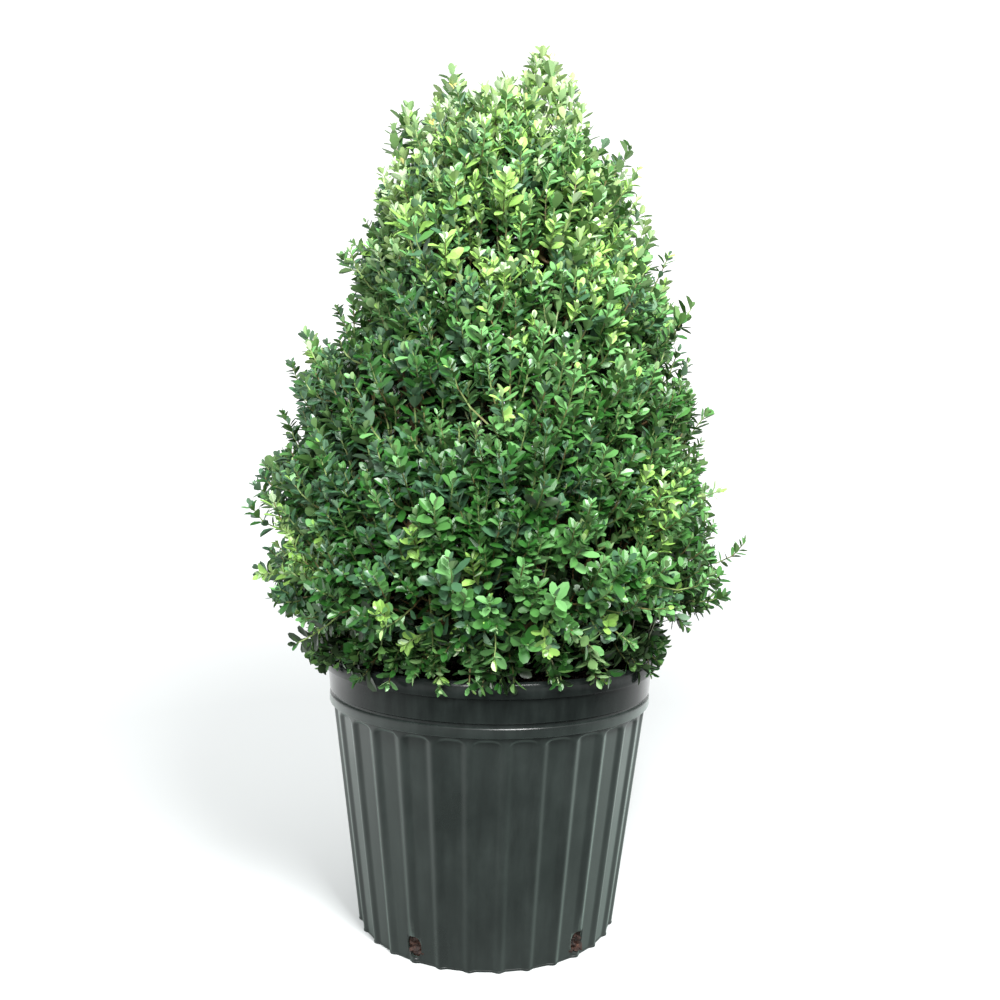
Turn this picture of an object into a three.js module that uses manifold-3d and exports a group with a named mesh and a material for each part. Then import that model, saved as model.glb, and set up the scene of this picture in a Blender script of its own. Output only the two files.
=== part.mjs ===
// A clipped boxwood cone in its black fluted nursery pot, in millimetres with +Z up.
// The origin is the middle of the pot's flat underside. The pot holds its growing medium,
// a short flared stem stands on that and forks into boughs, and each bough carries one mass
// of foliage: a dense core with leafy shoots standing out of it.

import * as THREE from 'three';
import { mergeVertices } from 'three/addons/utils/BufferGeometryUtils.js';
import Module from 'manifold-3d';

const wasm = await Module();
wasm.setup();

// ---- driving dimensions ------------------------------------------------------------------

const CLEAR = 0.3; // running gap between two pieces that touch

const POT = {
  height: 290,
  rimRadius: 177.5,
  footRadius: 137,
  wall: 2.4,
  floor: 4,
  flutes: 30,
  fluteDepth: 3.2,
  stepsPerFlute: 3,
  fluteTop: 236,
  onWall: 0.6, // a corner this near the wall's line belongs to the fluted wall
  ledge: 2,
  bandRadius: 171,
  bandTop: 247,
  draft: 0.8, // how far the band and the collar lean in
  chamfer: 1.5,
  grooveRadius: 168,
  collarFoot: 250,
  collarRadius: 171.8,
  lipFoot: 275,
  lipWall: 6.5,
  lipBevel: 5,
  lipRound: 2.6,
  throat: 6, // drop of the slope inside the lip
};

const DRAIN = { count: 5, firstBearing: -48, width: 14, foot: 5, top: 26, depth: 40 };

const SOIL = { level: 264, crown: 2, middle: 60, shoulder: 6, gap: 0.6, steps: 45 };

const STEM = {
  height: 62,
  rings: [0, 6, 13, 24, 40], // heights of the corners under its top
  sides: 20,
  radius: 14,
  forkRadius: 11.5,
  flare: 13,
  flareHeight: 12,
  roots: 5,
  rootSwell: 0.16,
  lean: 5,
};

const BOUGH = {
  leaderFoot: 8,
  leaderTip: 6,
  leaderDrop: 9, // how far under the stem's top a leader starts
  sideFoot: 6.5,
  sideTip: 4.4,
  sideDrop: 15,
  stagger: 13,
  onLean: 0.6, // share of the stem's lean at the foot of a side bough
  rise: 66,
  tipRadius: 60,
  outward: 0.9,
  upward: 0.8,
};

// Reach of the leaves from the crown's axis, from the skirt over the rim up to the apex.
const CROWN_OUTLINE = [
  [186, 290],
  [222, 306],
  [244, 336],
  [251, 390],
  [248, 450],
  [241, 505],
  [225, 555],
  [206, 610],
  [188, 655],
  [167, 705],
  [148, 755],
  [130, 806],
  [104, 846],
  [76, 876],
  [44, 892],
  [8, 900],
];
// Narrow tufts that stand out of the rounded top: the apex leans towards +X.
const TUFTS = [
  { x: 44, y: 0, top: 935 },
  { x: 75, y: -5, top: 902 },
  { x: -50, y: -6, top: 908 },
  { x: -97, y: 3, top: 873 },
];
const TUFT = { spread: 0.55, depth: 70, shoots: 2, ring: 13, step: 17 };
const CROWN_SKIRT = 293; // no leaf hangs lower where the rim lies under it
const ROOM_TOP = 470; // the stem and boughs have the middle of the crown below this to themselves

const CORE = { inset: 32, detail: 3, wallGap: 3 };
const HIDDEN = { ends: 10, share: 0.72, footRadius: 3, tipRadius: 2.2 }; // branches inside a core
const WALL_GAP = 1.6; // between a mass's leaves and the walls of its space
const RAGGED = 9; // how far a leaf may stand past the crown's outline
const FARTHEST = 700; // longer than any ray inside the crown

const SHOOT = {
  spacing: 80,
  radius: 2.1,
  tipRadius: 1.1,
  rise: 0.45,
  bow: 0.45,
  inset: 15,
  ragged: 10,
  firstRing: 0.4,
  uneven: 0.3,
};
const LEAF = {
  length: 40,
  width: 18,
  thick: 2.6,
  sunk: 2,
  tilt: 0.95,
  broadest: 0.16, // how far past its middle a leaf is broadest
  smallest: 0.86,
  largest: 1.08,
  atTip: 0.8,
  roll: 0.3,
};
const LEAF_PAIRS = [0.78, 0.94];
const SEED = 20;

// Lower masses stand round the stem. `top` is how high each reaches up the crown's outline.
const LOBES = [
  { name: 'front', bearing: -86, top: 600 },
  { name: 'right', bearing: -14, top: 585 },
  { name: 'back_right', bearing: 58, top: 640 },
  { name: 'back_left', bearing: 130, top: 610 },
  { name: 'left', bearing: 202, top: 655 },
];
const LOBE_TOP_SLOPE = 2; // rise over run of the wall between a lobe and the upper masses
const LOBE_HEART = { radius: 158, height: 420 };
const UPPER_WALL = { x: -22, bearing: 196 }; // parts the leader from the left shoulder
const UPPER = [
  { name: 'leader', heart: [34, -4, 640], bough: [10, -3, 469], foot: [1, 0] },
  { name: 'shoulder', heart: [-74, 14, 630], bough: [-46, 10, 469], foot: [-3, 1] },
];

const FINISH = {
  pot: { color: 0x2f3432, roughness: 0.45 },
  soil: { color: 0x3a2a1e, roughness: 0.95 },
  bark: { color: 0x7d6a4c, roughness: 0.85 },
  leaf: { color: 0x3f6f3c, roughness: 0.6 },
};

// ---- small tools -------------------------------------------------------------------------

const UP = new THREE.Vector3(0, 0, 1);
const GOLDEN_TURN = Math.PI * (3 - Math.sqrt(5));
const radians = THREE.MathUtils.degToRad;
const lerp = THREE.MathUtils.lerp;

/** A repeatable stream of numbers from 0 to 1. */
function seeded(seed) {
  let state = seed;
  return () => {
    state = (state + 0x6d2b79f5) | 0;
    let mixed = Math.imul(state ^ (state >>> 15), 1 | state);
    mixed = (mixed + Math.imul(mixed ^ (mixed >>> 7), 61 | mixed)) ^ mixed;
    return ((mixed ^ (mixed >>> 14)) >>> 0) / 4294967296;
  };
}

/** The point at a bearing and radius round the Z axis. */
function around(bearing, radius, z) {
  return new THREE.Vector3(radius * Math.cos(bearing), radius * Math.sin(bearing), z);
}

/** The geometry with only merged positions, so that its faces share corners. */
function shared(geometry) {
  geometry.deleteAttribute('normal');
  geometry.deleteAttribute('uv');
  return mergeVertices(geometry, 1e-3);
}

/** A closed geometry as a solid that can be joined and cut. */
function solidOf(geometry) {
  const whole = shared(geometry);
  const vertProperties = new Float32Array(whole.attributes.position.array);
  const triVerts = new Uint32Array(whole.index.array);
  const mesh = new wasm.Mesh({ numProp: 3, vertProperties, triVerts });
  return new wasm.Manifold(mesh);
}

/** A solid as a geometry again. */
function geometryOf(solid) {
  const { vertProperties, triVerts } = solid.getMesh();
  const geometry = new THREE.BufferGeometry();
  geometry.setAttribute('position', new THREE.BufferAttribute(vertProperties, 3));
  geometry.setIndex(new THREE.BufferAttribute(triVerts, 1));
  geometry.computeVertexNormals();
  return geometry;
}

/** The join of many solids, with loose scraps dropped and sealed hollows filled. */
function fused(solids) {
  const joined = solidOf(geometryOf(wasm.Manifold.union(solids)));
  const bodies = joined.decompose();
  return bodies.reduce((largest, body) => (body.volume() > largest.volume() ? body : largest));
}

/** Moves every corner of a geometry by `place`, which edits the point that it is given. */
function reshape(geometry, place) {
  const position = geometry.attributes.position;
  const point = new THREE.Vector3();
  for (let i = 0; i < position.count; i += 1) {
    point.fromBufferAttribute(position, i);
    place(point);
    position.setXYZ(i, point.x, point.y, point.z);
  }
  return geometry;
}

/** A round profile of [radius, height] turned about +Z. */
function turned(profile, segments, start = 0) {
  const points = profile.map(([radius, height]) => new THREE.Vector2(radius, height));
  const geometry = new THREE.LatheGeometry(points, segments, start);
  return geometry.rotateX(Math.PI / 2);
}

/** A tapering limb along a curve, closed by flat ends. */
function limb(curve, footRadius, tipRadius, { sides = 3, steps = 2 } = {}) {
  const geometry = new THREE.CylinderGeometry(tipRadius, footRadius, steps, sides, steps);
  const { normals, binormals } = curve.computeFrenetFrames(steps);
  reshape(geometry, (point) => {
    const step = Math.round(point.y + steps / 2);
    const centre = curve.getPointAt(step / steps);
    const across = normals[step].clone().multiplyScalar(point.z);
    const along = binormals[step].clone().multiplyScalar(point.x);
    point.copy(centre).add(across).add(along);
  });
  return solidOf(geometry);
}

/** A gently bent curve from start to end that leaves the start along `heading`. */
function bend(start, heading, end) {
  const reach = start.distanceTo(end) / 2;
  const control = heading.clone().normalize().multiplyScalar(reach).add(start);
  return new THREE.QuadraticBezierCurve3(start, control, end);
}

// ---- pot and growing medium --------------------------------------------------------------

/** Outer radius of the pot's fluted wall, on a ridge. */
function wallRadius(z) {
  return lerp(POT.footRadius, POT.grooveRadius - 1, z / POT.fluteTop);
}

/** The pot's half section, from the middle of its underside round to the middle of its floor. */
function potProfile() {
  const inner = (z) => wallRadius(z) - POT.fluteDepth - POT.wall;
  const lipInner = POT.rimRadius - POT.lipWall;
  return [
    [0, 0],
    [wallRadius(0), 0],
    [wallRadius(POT.fluteTop), POT.fluteTop],
    [POT.bandRadius, POT.fluteTop + POT.ledge],
    [POT.bandRadius - POT.draft, POT.bandTop],
    [POT.grooveRadius, POT.bandTop + POT.chamfer],
    [POT.collarRadius - POT.draft, POT.collarFoot],
    [POT.collarRadius, POT.lipFoot - POT.chamfer],
    [POT.rimRadius - POT.draft, POT.lipFoot],
    [POT.rimRadius, POT.height - POT.lipBevel],
    [POT.rimRadius - POT.lipRound, POT.height],
    [lipInner, POT.height - POT.ledge],
    [lipInner - POT.chamfer, POT.lipFoot - POT.throat],
    [inner(POT.fluteTop), POT.fluteTop - POT.floor],
    [inner(POT.floor), POT.floor],
    [0, POT.floor],
  ];
}

/** How deep the outer wall is hollowed at a bearing: nought on a ridge, full in mid flute. */
function fluteAt(bearing) {
  const turn = (bearing * POT.flutes) / (2 * Math.PI);
  const across = turn - Math.floor(turn) - 0.5;
  return POT.fluteDepth * (1 - 4 * across * across);
}

/** Presses the flutes into the corners of the outer wall between the foot and the band. */
function pressFlutes(point) {
  const radius = Math.hypot(point.x, point.y);
  const onWall = Math.abs(radius - wallRadius(point.z)) < POT.onWall;
  if (!onWall || point.z > POT.fluteTop + CLEAR) return;
  const frontBearing = Math.atan2(point.y, point.x) + Math.PI / 2;
  const scale = 1 - fluteAt(frontBearing + Math.PI / POT.flutes) / radius;
  point.x *= scale;
  point.y *= scale;
}

/** One drain hole through the foot of the wall. */
function drainHole(index) {
  const { width, foot, top, depth, count, firstBearing } = DRAIN;
  const hole = new THREE.BoxGeometry(depth, width, top - foot);
  hole.translate(wallRadius(0), 0, (foot + top) / 2);
  hole.rotateZ(radians(firstBearing + (360 / count) * index));
  return solidOf(hole);
}

function makePot() {
  const segments = POT.flutes * POT.stepsPerFlute;
  const halfFlute = Math.PI / POT.flutes;
  const shell = solidOf(reshape(turned(potProfile(), segments, halfFlute), pressFlutes));
  const holes = Array.from({ length: DRAIN.count }, (_, index) => drainHole(index));
  return shell.subtract(wasm.Manifold.union(holes));
}

function makeSoil() {
  const reach = (z) => wallRadius(z) - POT.fluteDepth - POT.wall - SOIL.gap;
  const shoulder = POT.fluteTop - SOIL.shoulder;
  const profile = [
    [0, POT.floor + CLEAR],
    [reach(POT.floor), POT.floor + CLEAR],
    [reach(shoulder), shoulder],
    [reach(shoulder) + 1, SOIL.level - SOIL.crown],
    [SOIL.middle, SOIL.level],
    [0, SOIL.level],
  ];
  return solidOf(turned(profile, SOIL.steps));
}

// ---- stem and boughs ---------------------------------------------------------------------

/** Radius of the stem at a height over the soil, before the roots swell it. */
function stemRadius(height) {
  const tapered = lerp(STEM.radius, STEM.forkRadius, height / STEM.height);
  return tapered + STEM.flare * Math.exp(-height / STEM.flareHeight);
}

/** The stem, with `swell` added to its radius all round and over its top. */
function makeStem(swell = 0) {
  const foot = SOIL.level + CLEAR;
  const heights = [...STEM.rings, STEM.height];
  const rise = (height) => foot + height + (height === STEM.height ? swell : 0);
  const flank = heights.map((height) => [stemRadius(height) + swell, rise(height)]);
  const profile = [[0, foot], ...flank, [0, foot + STEM.height + swell]];
  const geometry = reshape(turned(profile, STEM.sides), (point) => {
    const height = point.z - foot;
    const bearing = Math.atan2(point.y, point.x);
    const nearRoots = Math.exp(-height / STEM.flareHeight);
    const scale = 1 + STEM.rootSwell * nearRoots * Math.cos(STEM.roots * bearing);
    const lean = (STEM.lean * height) / STEM.height;
    point.set(point.x * scale + lean, point.y * scale, point.z);
  });
  return solidOf(geometry);
}

/** The curve that a bough follows, from inside the stem to where its mass begins. */
function boughCurve(start, tip) {
  const heading = tip.clone().sub(start).setZ(0).multiplyScalar(BOUGH.outward);
  heading.addScaledVector(UP, start.distanceTo(tip) * BOUGH.upward);
  return bend(start, heading, tip);
}

/** Every bough as its curve and radii, the leaders first and the side boughs by bearing. */
function boughPlans() {
  const top = SOIL.level + STEM.height;
  const leaders = UPPER.map(({ name, bough, foot }) => {
    const start = new THREE.Vector3(STEM.lean + foot[0], foot[1], top - BOUGH.leaderDrop);
    const curve = boughCurve(start, new THREE.Vector3(...bough));
    return { name, curve, foot: BOUGH.leaderFoot, tip: BOUGH.leaderTip };
  });
  const sides = LOBES.map(({ name, bearing }, index) => {
    const drop = BOUGH.sideDrop + (index % 3) * BOUGH.stagger;
    const start = new THREE.Vector3(STEM.lean * BOUGH.onLean, 0, top - drop);
    const tip = around(radians(bearing), BOUGH.tipRadius, top + BOUGH.rise - drop);
    return { name, curve: boughCurve(start, tip), foot: BOUGH.sideFoot, tip: BOUGH.sideTip };
  });
  return [...leaders, ...sides];
}

/** Cuts each bough clear of the stem and of the boughs made before it. */
function makeBoughs(plans) {
  let taken = makeStem(CLEAR);
  return plans.map(({ curve, foot, tip }) => {
    const shape = { sides: 7, steps: 4 };
    const bough = fused([limb(curve, foot, tip, shape).subtract(taken)]);
    taken = taken.add(limb(curve, foot + CLEAR, tip + CLEAR, shape));
    return bough;
  });
}

// ---- the crown's space -------------------------------------------------------------------

/** Reach of the crown from its axis at a height. */
function crownRadius(z) {
  const above = CROWN_OUTLINE.findIndex(([, height]) => height > z);
  if (above <= 0) return above === 0 ? CROWN_OUTLINE[0][0] : 0;
  const [r0, z0] = CROWN_OUTLINE[above - 1];
  const [r1, z1] = CROWN_OUTLINE[above];
  return lerp(r0, r1, (z - z0) / (z1 - z0));
}

/** Is the point in one of the tufts, or at least `skin` inside the crown's rounded body? */
function inOutline(point, skin) {
  if (Math.hypot(point.x, point.y) <= crownRadius(point.z) - skin) return true;
  return TUFTS.some(({ x, y, top }) => {
    const under = top - point.z;
    const spread = under * TUFT.spread - skin;
    return under >= 0 && under < TUFT.depth && Math.hypot(point.x - x, point.y - y) <= spread;
  });
}

/** The space that one mass keeps to: the crown's outline, cut by flat walls facing inward. */
class Space {
  constructor(walls) {
    this.walls = walls;
  }

  /** Is the point at least `skin` inside the outline and `gap` inside every wall? */
  holds(point, skin, gap) {
    if (point.z < CROWN_SKIRT + gap) return false;
    if (!inOutline(point, skin)) return false;
    return this.walls.every((wall) => wall.distanceToPoint(point) >= gap);
  }

  /** How far a ray can run from a point inside before it leaves, to within the running gap. */
  reach(from, direction, skin, gap) {
    let inside = 0;
    let outside = FARTHEST;
    while (outside - inside > CLEAR) {
      const middle = (inside + outside) / 2;
      const point = from.clone().addScaledVector(direction, middle);
      if (this.holds(point, skin, gap)) inside = middle;
      else outside = middle;
    }
    return inside;
  }
}

/** A wall through a point, whose normal looks into the space. */
function wallAt(point, normal) {
  return new THREE.Plane().setFromNormalAndCoplanarPoint(normal.clone().normalize(), point);
}

/** The slanting wall over a lobe, looking down into the lobe. */
function lobeRoof({ bearing, top }) {
  const edge = around(radians(bearing), crownRadius(top), top);
  const outward = around(radians(bearing), LOBE_TOP_SLOPE, -1);
  return wallAt(edge, outward);
}

function lobeSpace(lobe) {
  const bearing = radians(lobe.bearing);
  const half = Math.PI / LOBES.length;
  const centre = new THREE.Vector3(0, 0, 0);
  const sideways = [bearing - half + Math.PI / 2, bearing + half - Math.PI / 2];
  const sides = sideways.map((facing) => wallAt(centre, around(facing, 1, 0)));
  const room = wallAt(around(bearing, BOUGH.tipRadius, 0), around(bearing, 1, 0));
  return new Space([...sides, room, lobeRoof(lobe)]);
}

/** The upper masses lie over every lobe's roof, on either side of one upright wall. */
function upperSpace(side) {
  const roofs = LOBES.map((lobe) => lobeRoof(lobe).negate());
  const floor = wallAt(new THREE.Vector3(0, 0, ROOM_TOP), UP);
  const parting = around(radians(UPPER_WALL.bearing), side, 0);
  return new Space([...roofs, floor, wallAt(new THREE.Vector3(UPPER_WALL.x, 0, 0), parting)]);
}

/** Each mass's name, space, heart and the bough that feeds it. */
function massPlans(boughs) {
  const upper = UPPER.map(({ name, heart }, index) => ({
    name,
    space: upperSpace(index === 0 ? -1 : 1),
    heart: new THREE.Vector3(...heart),
    bough: boughs[index],
  }));
  const lower = LOBES.map((lobe, index) => ({
    name: lobe.name,
    space: lobeSpace(lobe),
    heart: around(radians(lobe.bearing), LOBE_HEART.radius, LOBE_HEART.height),
    bough: boughs[UPPER.length + index],
  }));
  return [...upper, ...lower];
}

// ---- foliage -----------------------------------------------------------------------------

/** Shoot tips dealt evenly over the crown: rings along its outline, each a golden turn on. */
function shootTips(random) {
  const outline = CROWN_OUTLINE.map(([radius, z]) => new THREE.Vector3(radius, 0, z));
  const curve = new THREE.CatmullRomCurve3(outline);
  const rings = Math.round(curve.getLength() / SHOOT.spacing);
  const tips = [];
  for (let ring = 0; ring < rings; ring += 1) {
    const along = (ring + SHOOT.firstRing) / rings;
    const { x: radius, z } = curve.getPointAt(along);
    const slope = curve.getTangentAt(along);
    const count = Math.max(3, Math.round((2 * Math.PI * radius) / SHOOT.spacing));
    for (let step = 0; step < count; step += 1) {
      const turn = (step + SHOOT.uneven * random()) / count;
      const bearing = ring * GOLDEN_TURN + turn * 2 * Math.PI;
      const inward = SHOOT.inset - SHOOT.ragged * random();
      const facing = around(bearing, slope.z, -slope.x);
      const tip = around(bearing, radius, z).addScaledVector(facing, -inward);
      tips.push({ tip, facing });
    }
  }
  return [...tips, ...tuftTips()];
}

/** Upright shoots of the tufts: one to the top of each and a few round it. */
function tuftTips() {
  const leafReach = LEAF.atTip * LEAF.length - LEAF.sunk;
  return TUFTS.flatMap(({ x, y, top }) =>
    Array.from({ length: 1 + TUFT.shoots }, (_, index) => {
      const lower = index === 0 ? 0 : TUFT.ring;
      const tip = around(index * GOLDEN_TURN, lower, top - leafReach - index * TUFT.step);
      return { tip: tip.add(new THREE.Vector3(x, y, 0)), facing: UP.clone() };
    }),
  );
}

/** Ends of the hidden branches of a mass, spread evenly round its heart. */
function branchEnds({ space, heart }) {
  return Array.from({ length: HIDDEN.ends }, (_, index) => {
    const height = 1 - (2 * index + 1) / HIDDEN.ends;
    const direction = around(index * GOLDEN_TURN, Math.sqrt(1 - height * height), height);
    const length = space.reach(heart, direction, CORE.inset, CORE.wallGap);
    return heart.clone().addScaledVector(direction, HIDDEN.share * length);
  });
}

/** The dense middle of a mass: a ball pushed out to the mass's space on every ray. */
function makeCore({ space, heart }) {
  const ball = new THREE.IcosahedronGeometry(1, CORE.detail);
  return solidOf(
    reshape(ball, (point) => {
      const direction = point.clone().normalize();
      const length = space.reach(heart, direction, CORE.inset, CORE.wallGap);
      point.copy(heart).addScaledVector(direction, length);
    }),
  );
}

/** A leaf of eight faces: broadest past its middle, with its root sunk into the shoot. */
function makeLeaf(root, heading, side, size) {
  const face = new THREE.Vector3().crossVectors(side, heading).normalize();
  const across = new THREE.Vector3().crossVectors(face, heading).normalize();
  const leaf = new THREE.OctahedronGeometry(1, 0);
  return reshape(leaf, (point) => {
    const broad = LEAF.broadest * (1 - Math.abs(point.x));
    const along = ((point.x + 1 + broad) / 2) * LEAF.length * size - LEAF.sunk;
    const wide = (point.y / 2) * LEAF.width * size;
    const thick = (point.z / 2) * LEAF.thick;
    point.copy(root);
    point.addScaledVector(heading, along).addScaledVector(across, wide).addScaledVector(face, thick);
  });
}

/** Do all corners of a geometry lie in the space? */
function keepsTo(space, geometry) {
  const position = geometry.attributes.position;
  const corner = new THREE.Vector3();
  for (let i = 0; i < position.count; i += 1) {
    corner.fromBufferAttribute(position, i);
    if (!space.holds(corner, -RAGGED, WALL_GAP)) return false;
  }
  return true;
}

/** Opposite pairs of leaves along a shoot, each pair a quarter turn on, and one at its tip. */
function leavesOn(curve, random) {
  const leaves = [];
  const turn = random() * Math.PI;
  LEAF_PAIRS.forEach((along, pair) => {
    const root = curve.getPointAt(along);
    const ahead = curve.getTangentAt(along);
    [0, Math.PI].forEach((opposite) => {
      const side = new THREE.Vector3().crossVectors(ahead, UP).normalize();
      side.applyAxisAngle(ahead, turn + (pair * Math.PI) / 2 + opposite);
      const heading = ahead.clone().multiplyScalar(Math.cos(LEAF.tilt));
      heading.addScaledVector(side, Math.sin(LEAF.tilt)).normalize();
      const flank = new THREE.Vector3().crossVectors(ahead, side);
      leaves.push(makeLeaf(root, heading, flank, lerp(LEAF.smallest, LEAF.largest, random())));
    });
  });
  const tip = curve.getPointAt(1);
  const ahead = curve.getTangentAt(1);
  const flank = around(turn, 1, LEAF.roll).cross(ahead).normalize();
  leaves.push(makeLeaf(tip, ahead, flank, LEAF.atTip));
  return leaves;
}

/** A leafy shoot from the nearest branch end out to its tip, or nothing if it would leave. */
function makeShoot({ tip, facing }, ends, space, random) {
  const near = (a, b) => a.distanceToSquared(tip) - b.distanceToSquared(tip);
  const start = [...ends].sort(near)[0];
  const lift = facing.clone().normalize().addScaledVector(UP, SHOOT.rise).normalize();
  const control = tip.clone().addScaledVector(lift, -SHOOT.bow * start.distanceTo(tip));
  const curve = new THREE.QuadraticBezierCurve3(start, control, tip);
  if (!space.holds(tip, -RAGGED, WALL_GAP + SHOOT.tipRadius)) return [];
  const leaves = leavesOn(curve, random).filter((leaf) => keepsTo(space, leaf));
  if (leaves.length < 2) return [];
  return [limb(curve, SHOOT.radius, SHOOT.tipRadius), ...leaves.map(solidOf)];
}

/** One mass: its stem from the bough, hidden branches, core and leafy shoots, all fused. */
function makeMass(plan, tips, random) {
  const { space, heart, bough } = plan;
  const ahead = bough.curve.getTangentAt(1);
  const foot = bough.curve.getPointAt(1).addScaledVector(ahead, CLEAR);
  const shape = { sides: 8, steps: 4 };
  const stem = limb(bend(foot, ahead, heart), bough.tip, HIDDEN.footRadius, shape);
  const ends = branchEnds(plan);
  const branches = ends.map((end) => {
    const curve = bend(heart, end.clone().sub(heart), end);
    return limb(curve, HIDDEN.footRadius, HIDDEN.tipRadius);
  });
  const shoots = tips.flatMap((shoot) => makeShoot(shoot, ends, space, random));
  return fused([makeCore(plan), stem, ...branches, ...shoots]);
}

// ---- the whole plant ---------------------------------------------------------------------

/** A mesh with its own plain material. */
function piece(name, solid, finish) {
  const material = new THREE.MeshStandardMaterial({ ...finish, metalness: 0, flatShading: true });
  const mesh = new THREE.Mesh(geometryOf(solid), material);
  mesh.name = name;
  return mesh;
}

function makePlant() {
  const plant = new THREE.Group();
  plant.add(piece('pot', makePot(), FINISH.pot));
  plant.add(piece('growing_medium', makeSoil(), FINISH.soil));
  plant.add(piece('main_stem', makeStem(), FINISH.bark));
  const boughs = boughPlans();
  makeBoughs(boughs).forEach((solid, index) => {
    plant.add(piece(`bough_${boughs[index].name}`, solid, FINISH.bark));
  });
  const random = seeded(SEED);
  const tips = shootTips(random);
  massPlans(boughs).forEach((plan) => {
    const own = tips.filter(({ tip }) => plan.space.holds(tip, -RAGGED, WALL_GAP));
    plant.add(piece(`foliage_${plan.name}`, makeMass(plan, own, random), FINISH.leaf));
  });
  return plant;
}

export default makePlant();
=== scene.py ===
"""A clipped boxwood cone in its black fluted nursery pot, dressed for a studio view.

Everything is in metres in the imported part's frame: +Z is up, -Y is the front, and the origin is the
middle of the pot's flat underside. The crown grows by one rule: boughs lead to hearts, hearts to hidden
branches, branches to twigs and twigs to leafy shoots whose tips are dealt evenly over the crown.
"""

import logging
import math
from dataclasses import dataclass, field
from enum import Enum

import bpy
import numpy as np
from mathutils import Matrix, Vector


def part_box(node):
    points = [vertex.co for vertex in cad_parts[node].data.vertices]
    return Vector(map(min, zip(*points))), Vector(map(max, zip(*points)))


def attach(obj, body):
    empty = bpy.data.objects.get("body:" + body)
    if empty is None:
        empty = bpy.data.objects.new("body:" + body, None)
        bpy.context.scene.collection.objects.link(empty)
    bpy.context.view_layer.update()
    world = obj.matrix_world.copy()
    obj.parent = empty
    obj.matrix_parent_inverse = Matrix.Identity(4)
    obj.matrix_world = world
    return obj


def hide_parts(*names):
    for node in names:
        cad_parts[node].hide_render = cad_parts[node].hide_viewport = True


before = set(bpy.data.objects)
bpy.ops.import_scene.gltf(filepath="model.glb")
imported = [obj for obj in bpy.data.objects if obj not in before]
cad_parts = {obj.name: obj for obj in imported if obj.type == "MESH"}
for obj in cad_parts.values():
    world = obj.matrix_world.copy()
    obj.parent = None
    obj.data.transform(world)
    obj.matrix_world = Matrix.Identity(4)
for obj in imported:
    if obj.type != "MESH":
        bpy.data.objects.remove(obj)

LOG = logging.getLogger("boxwood_cone")
MM = 0.001
GOLDEN_TURN = math.pi * (3 - math.sqrt(5))
UP = np.array([0.0, 0.0, 1.0])
BODY = "root"
Array = np.ndarray
Material = bpy.types.Material
Piece = bpy.types.Object
Point = tuple[float, float, float]
Span = tuple[float, float]
Tree = bpy.types.NodeTree
Socket = bpy.types.NodeSocket
Random = np.random.Generator
Skin = tuple[Array, list[Array]]


# ---- colours and shader nodes ------------------------------------------------------------


def linear(hex_colour: str) -> tuple[float, float, float, float]:
    """Turns an sRGB hex colour into linear red, green, blue and an alpha of one.

    Args:
        hex_colour: Six hex digits, such as "3F6F3C".

    Returns:
        Each channel by the sRGB curve: c / 12.92 when low, else ((c + 0.055) / 1.055) ** 2.4.
    """
    channels = [int(hex_colour[i:i + 2], 16) / 255 for i in (0, 2, 4)]
    curved = [c / 12.92 if c <= 0.04045 else ((c + 0.055) / 1.055) ** 2.4 for c in channels]
    return (curved[0], curved[1], curved[2], 1.0)


def add_node(tree: Tree, kind: str, settings: dict | None = None,
             inputs: dict | None = None) -> bpy.types.Node:
    """Adds a node, sets its properties, and sets or links its inputs.

    Args:
        tree: The node tree that gets the node.
        kind: The node's type name.
        settings: Properties of the node by name.
        inputs: Inputs by name or index; an output socket is linked and anything else is a value.

    Returns:
        The new node.
    """
    node = tree.nodes.new(kind)
    for name, value in (settings or {}).items():
        setattr(node, name, value)
    for name, value in (inputs or {}).items():
        if isinstance(value, Socket):
            tree.links.new(value, node.inputs[name])
        else:
            node.inputs[name].default_value = value
    return node


def new_material(name: str) -> tuple[Material, Tree, bpy.types.Node]:
    """Makes an empty node material.

    Args:
        name: The material's name.

    Returns:
        The material, its node tree and its Principled shader, which is linked to the output.
    """
    material = bpy.data.materials.new(name)
    material.use_nodes = True
    tree = material.node_tree
    tree.nodes.clear()
    shader = add_node(tree, "ShaderNodeBsdfPrincipled")
    add_node(tree, "ShaderNodeOutputMaterial", inputs={"Surface": shader.outputs["BSDF"]})
    return material, tree, shader


def ramp(tree: Tree, factor: Socket, stops: list[tuple[float, str]]) -> Socket:
    """Adds a colour ramp.

    Args:
        tree: The node tree.
        factor: The socket that is looked up.
        stops: Places from 0 to 1 with their hex colours, in rising order.

    Returns:
        The ramp's colour output.
    """
    node = add_node(tree, "ShaderNodeValToRGB", inputs={"Fac": factor})
    elements = node.color_ramp.elements
    while len(elements) < len(stops):
        elements.new(0.5)
    for element, (place, colour) in zip(elements, stops):
        element.position = place
        element.color = linear(colour)
    return node.outputs["Color"]


def span(tree: Tree, value: Socket, reach: Span, ends: Span = (0.0, 1.0)) -> Socket:
    """Adds a node that passes evenly from one end to the other over a reach of the value.

    Args:
        tree: The node tree.
        value: The socket that is read.
        reach: The values at which the two ends are met.
        ends: What comes out there.

    Returns:
        The result's output.
    """
    names = ("From Min", "From Max", "To Min", "To Max")
    inputs = {"Value": value, **dict(zip(names, (*reach, *ends)))}
    return add_node(tree, "ShaderNodeMapRange", inputs=inputs).outputs["Result"]


def arithmetic(tree: Tree, operation: str, first: Socket, second: Socket) -> Socket:
    """Adds a node that joins two values by an operation such as MULTIPLY."""
    return add_node(tree, "ShaderNodeMath", {"operation": operation}, {0: first, 1: second}).outputs[0]


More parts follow.
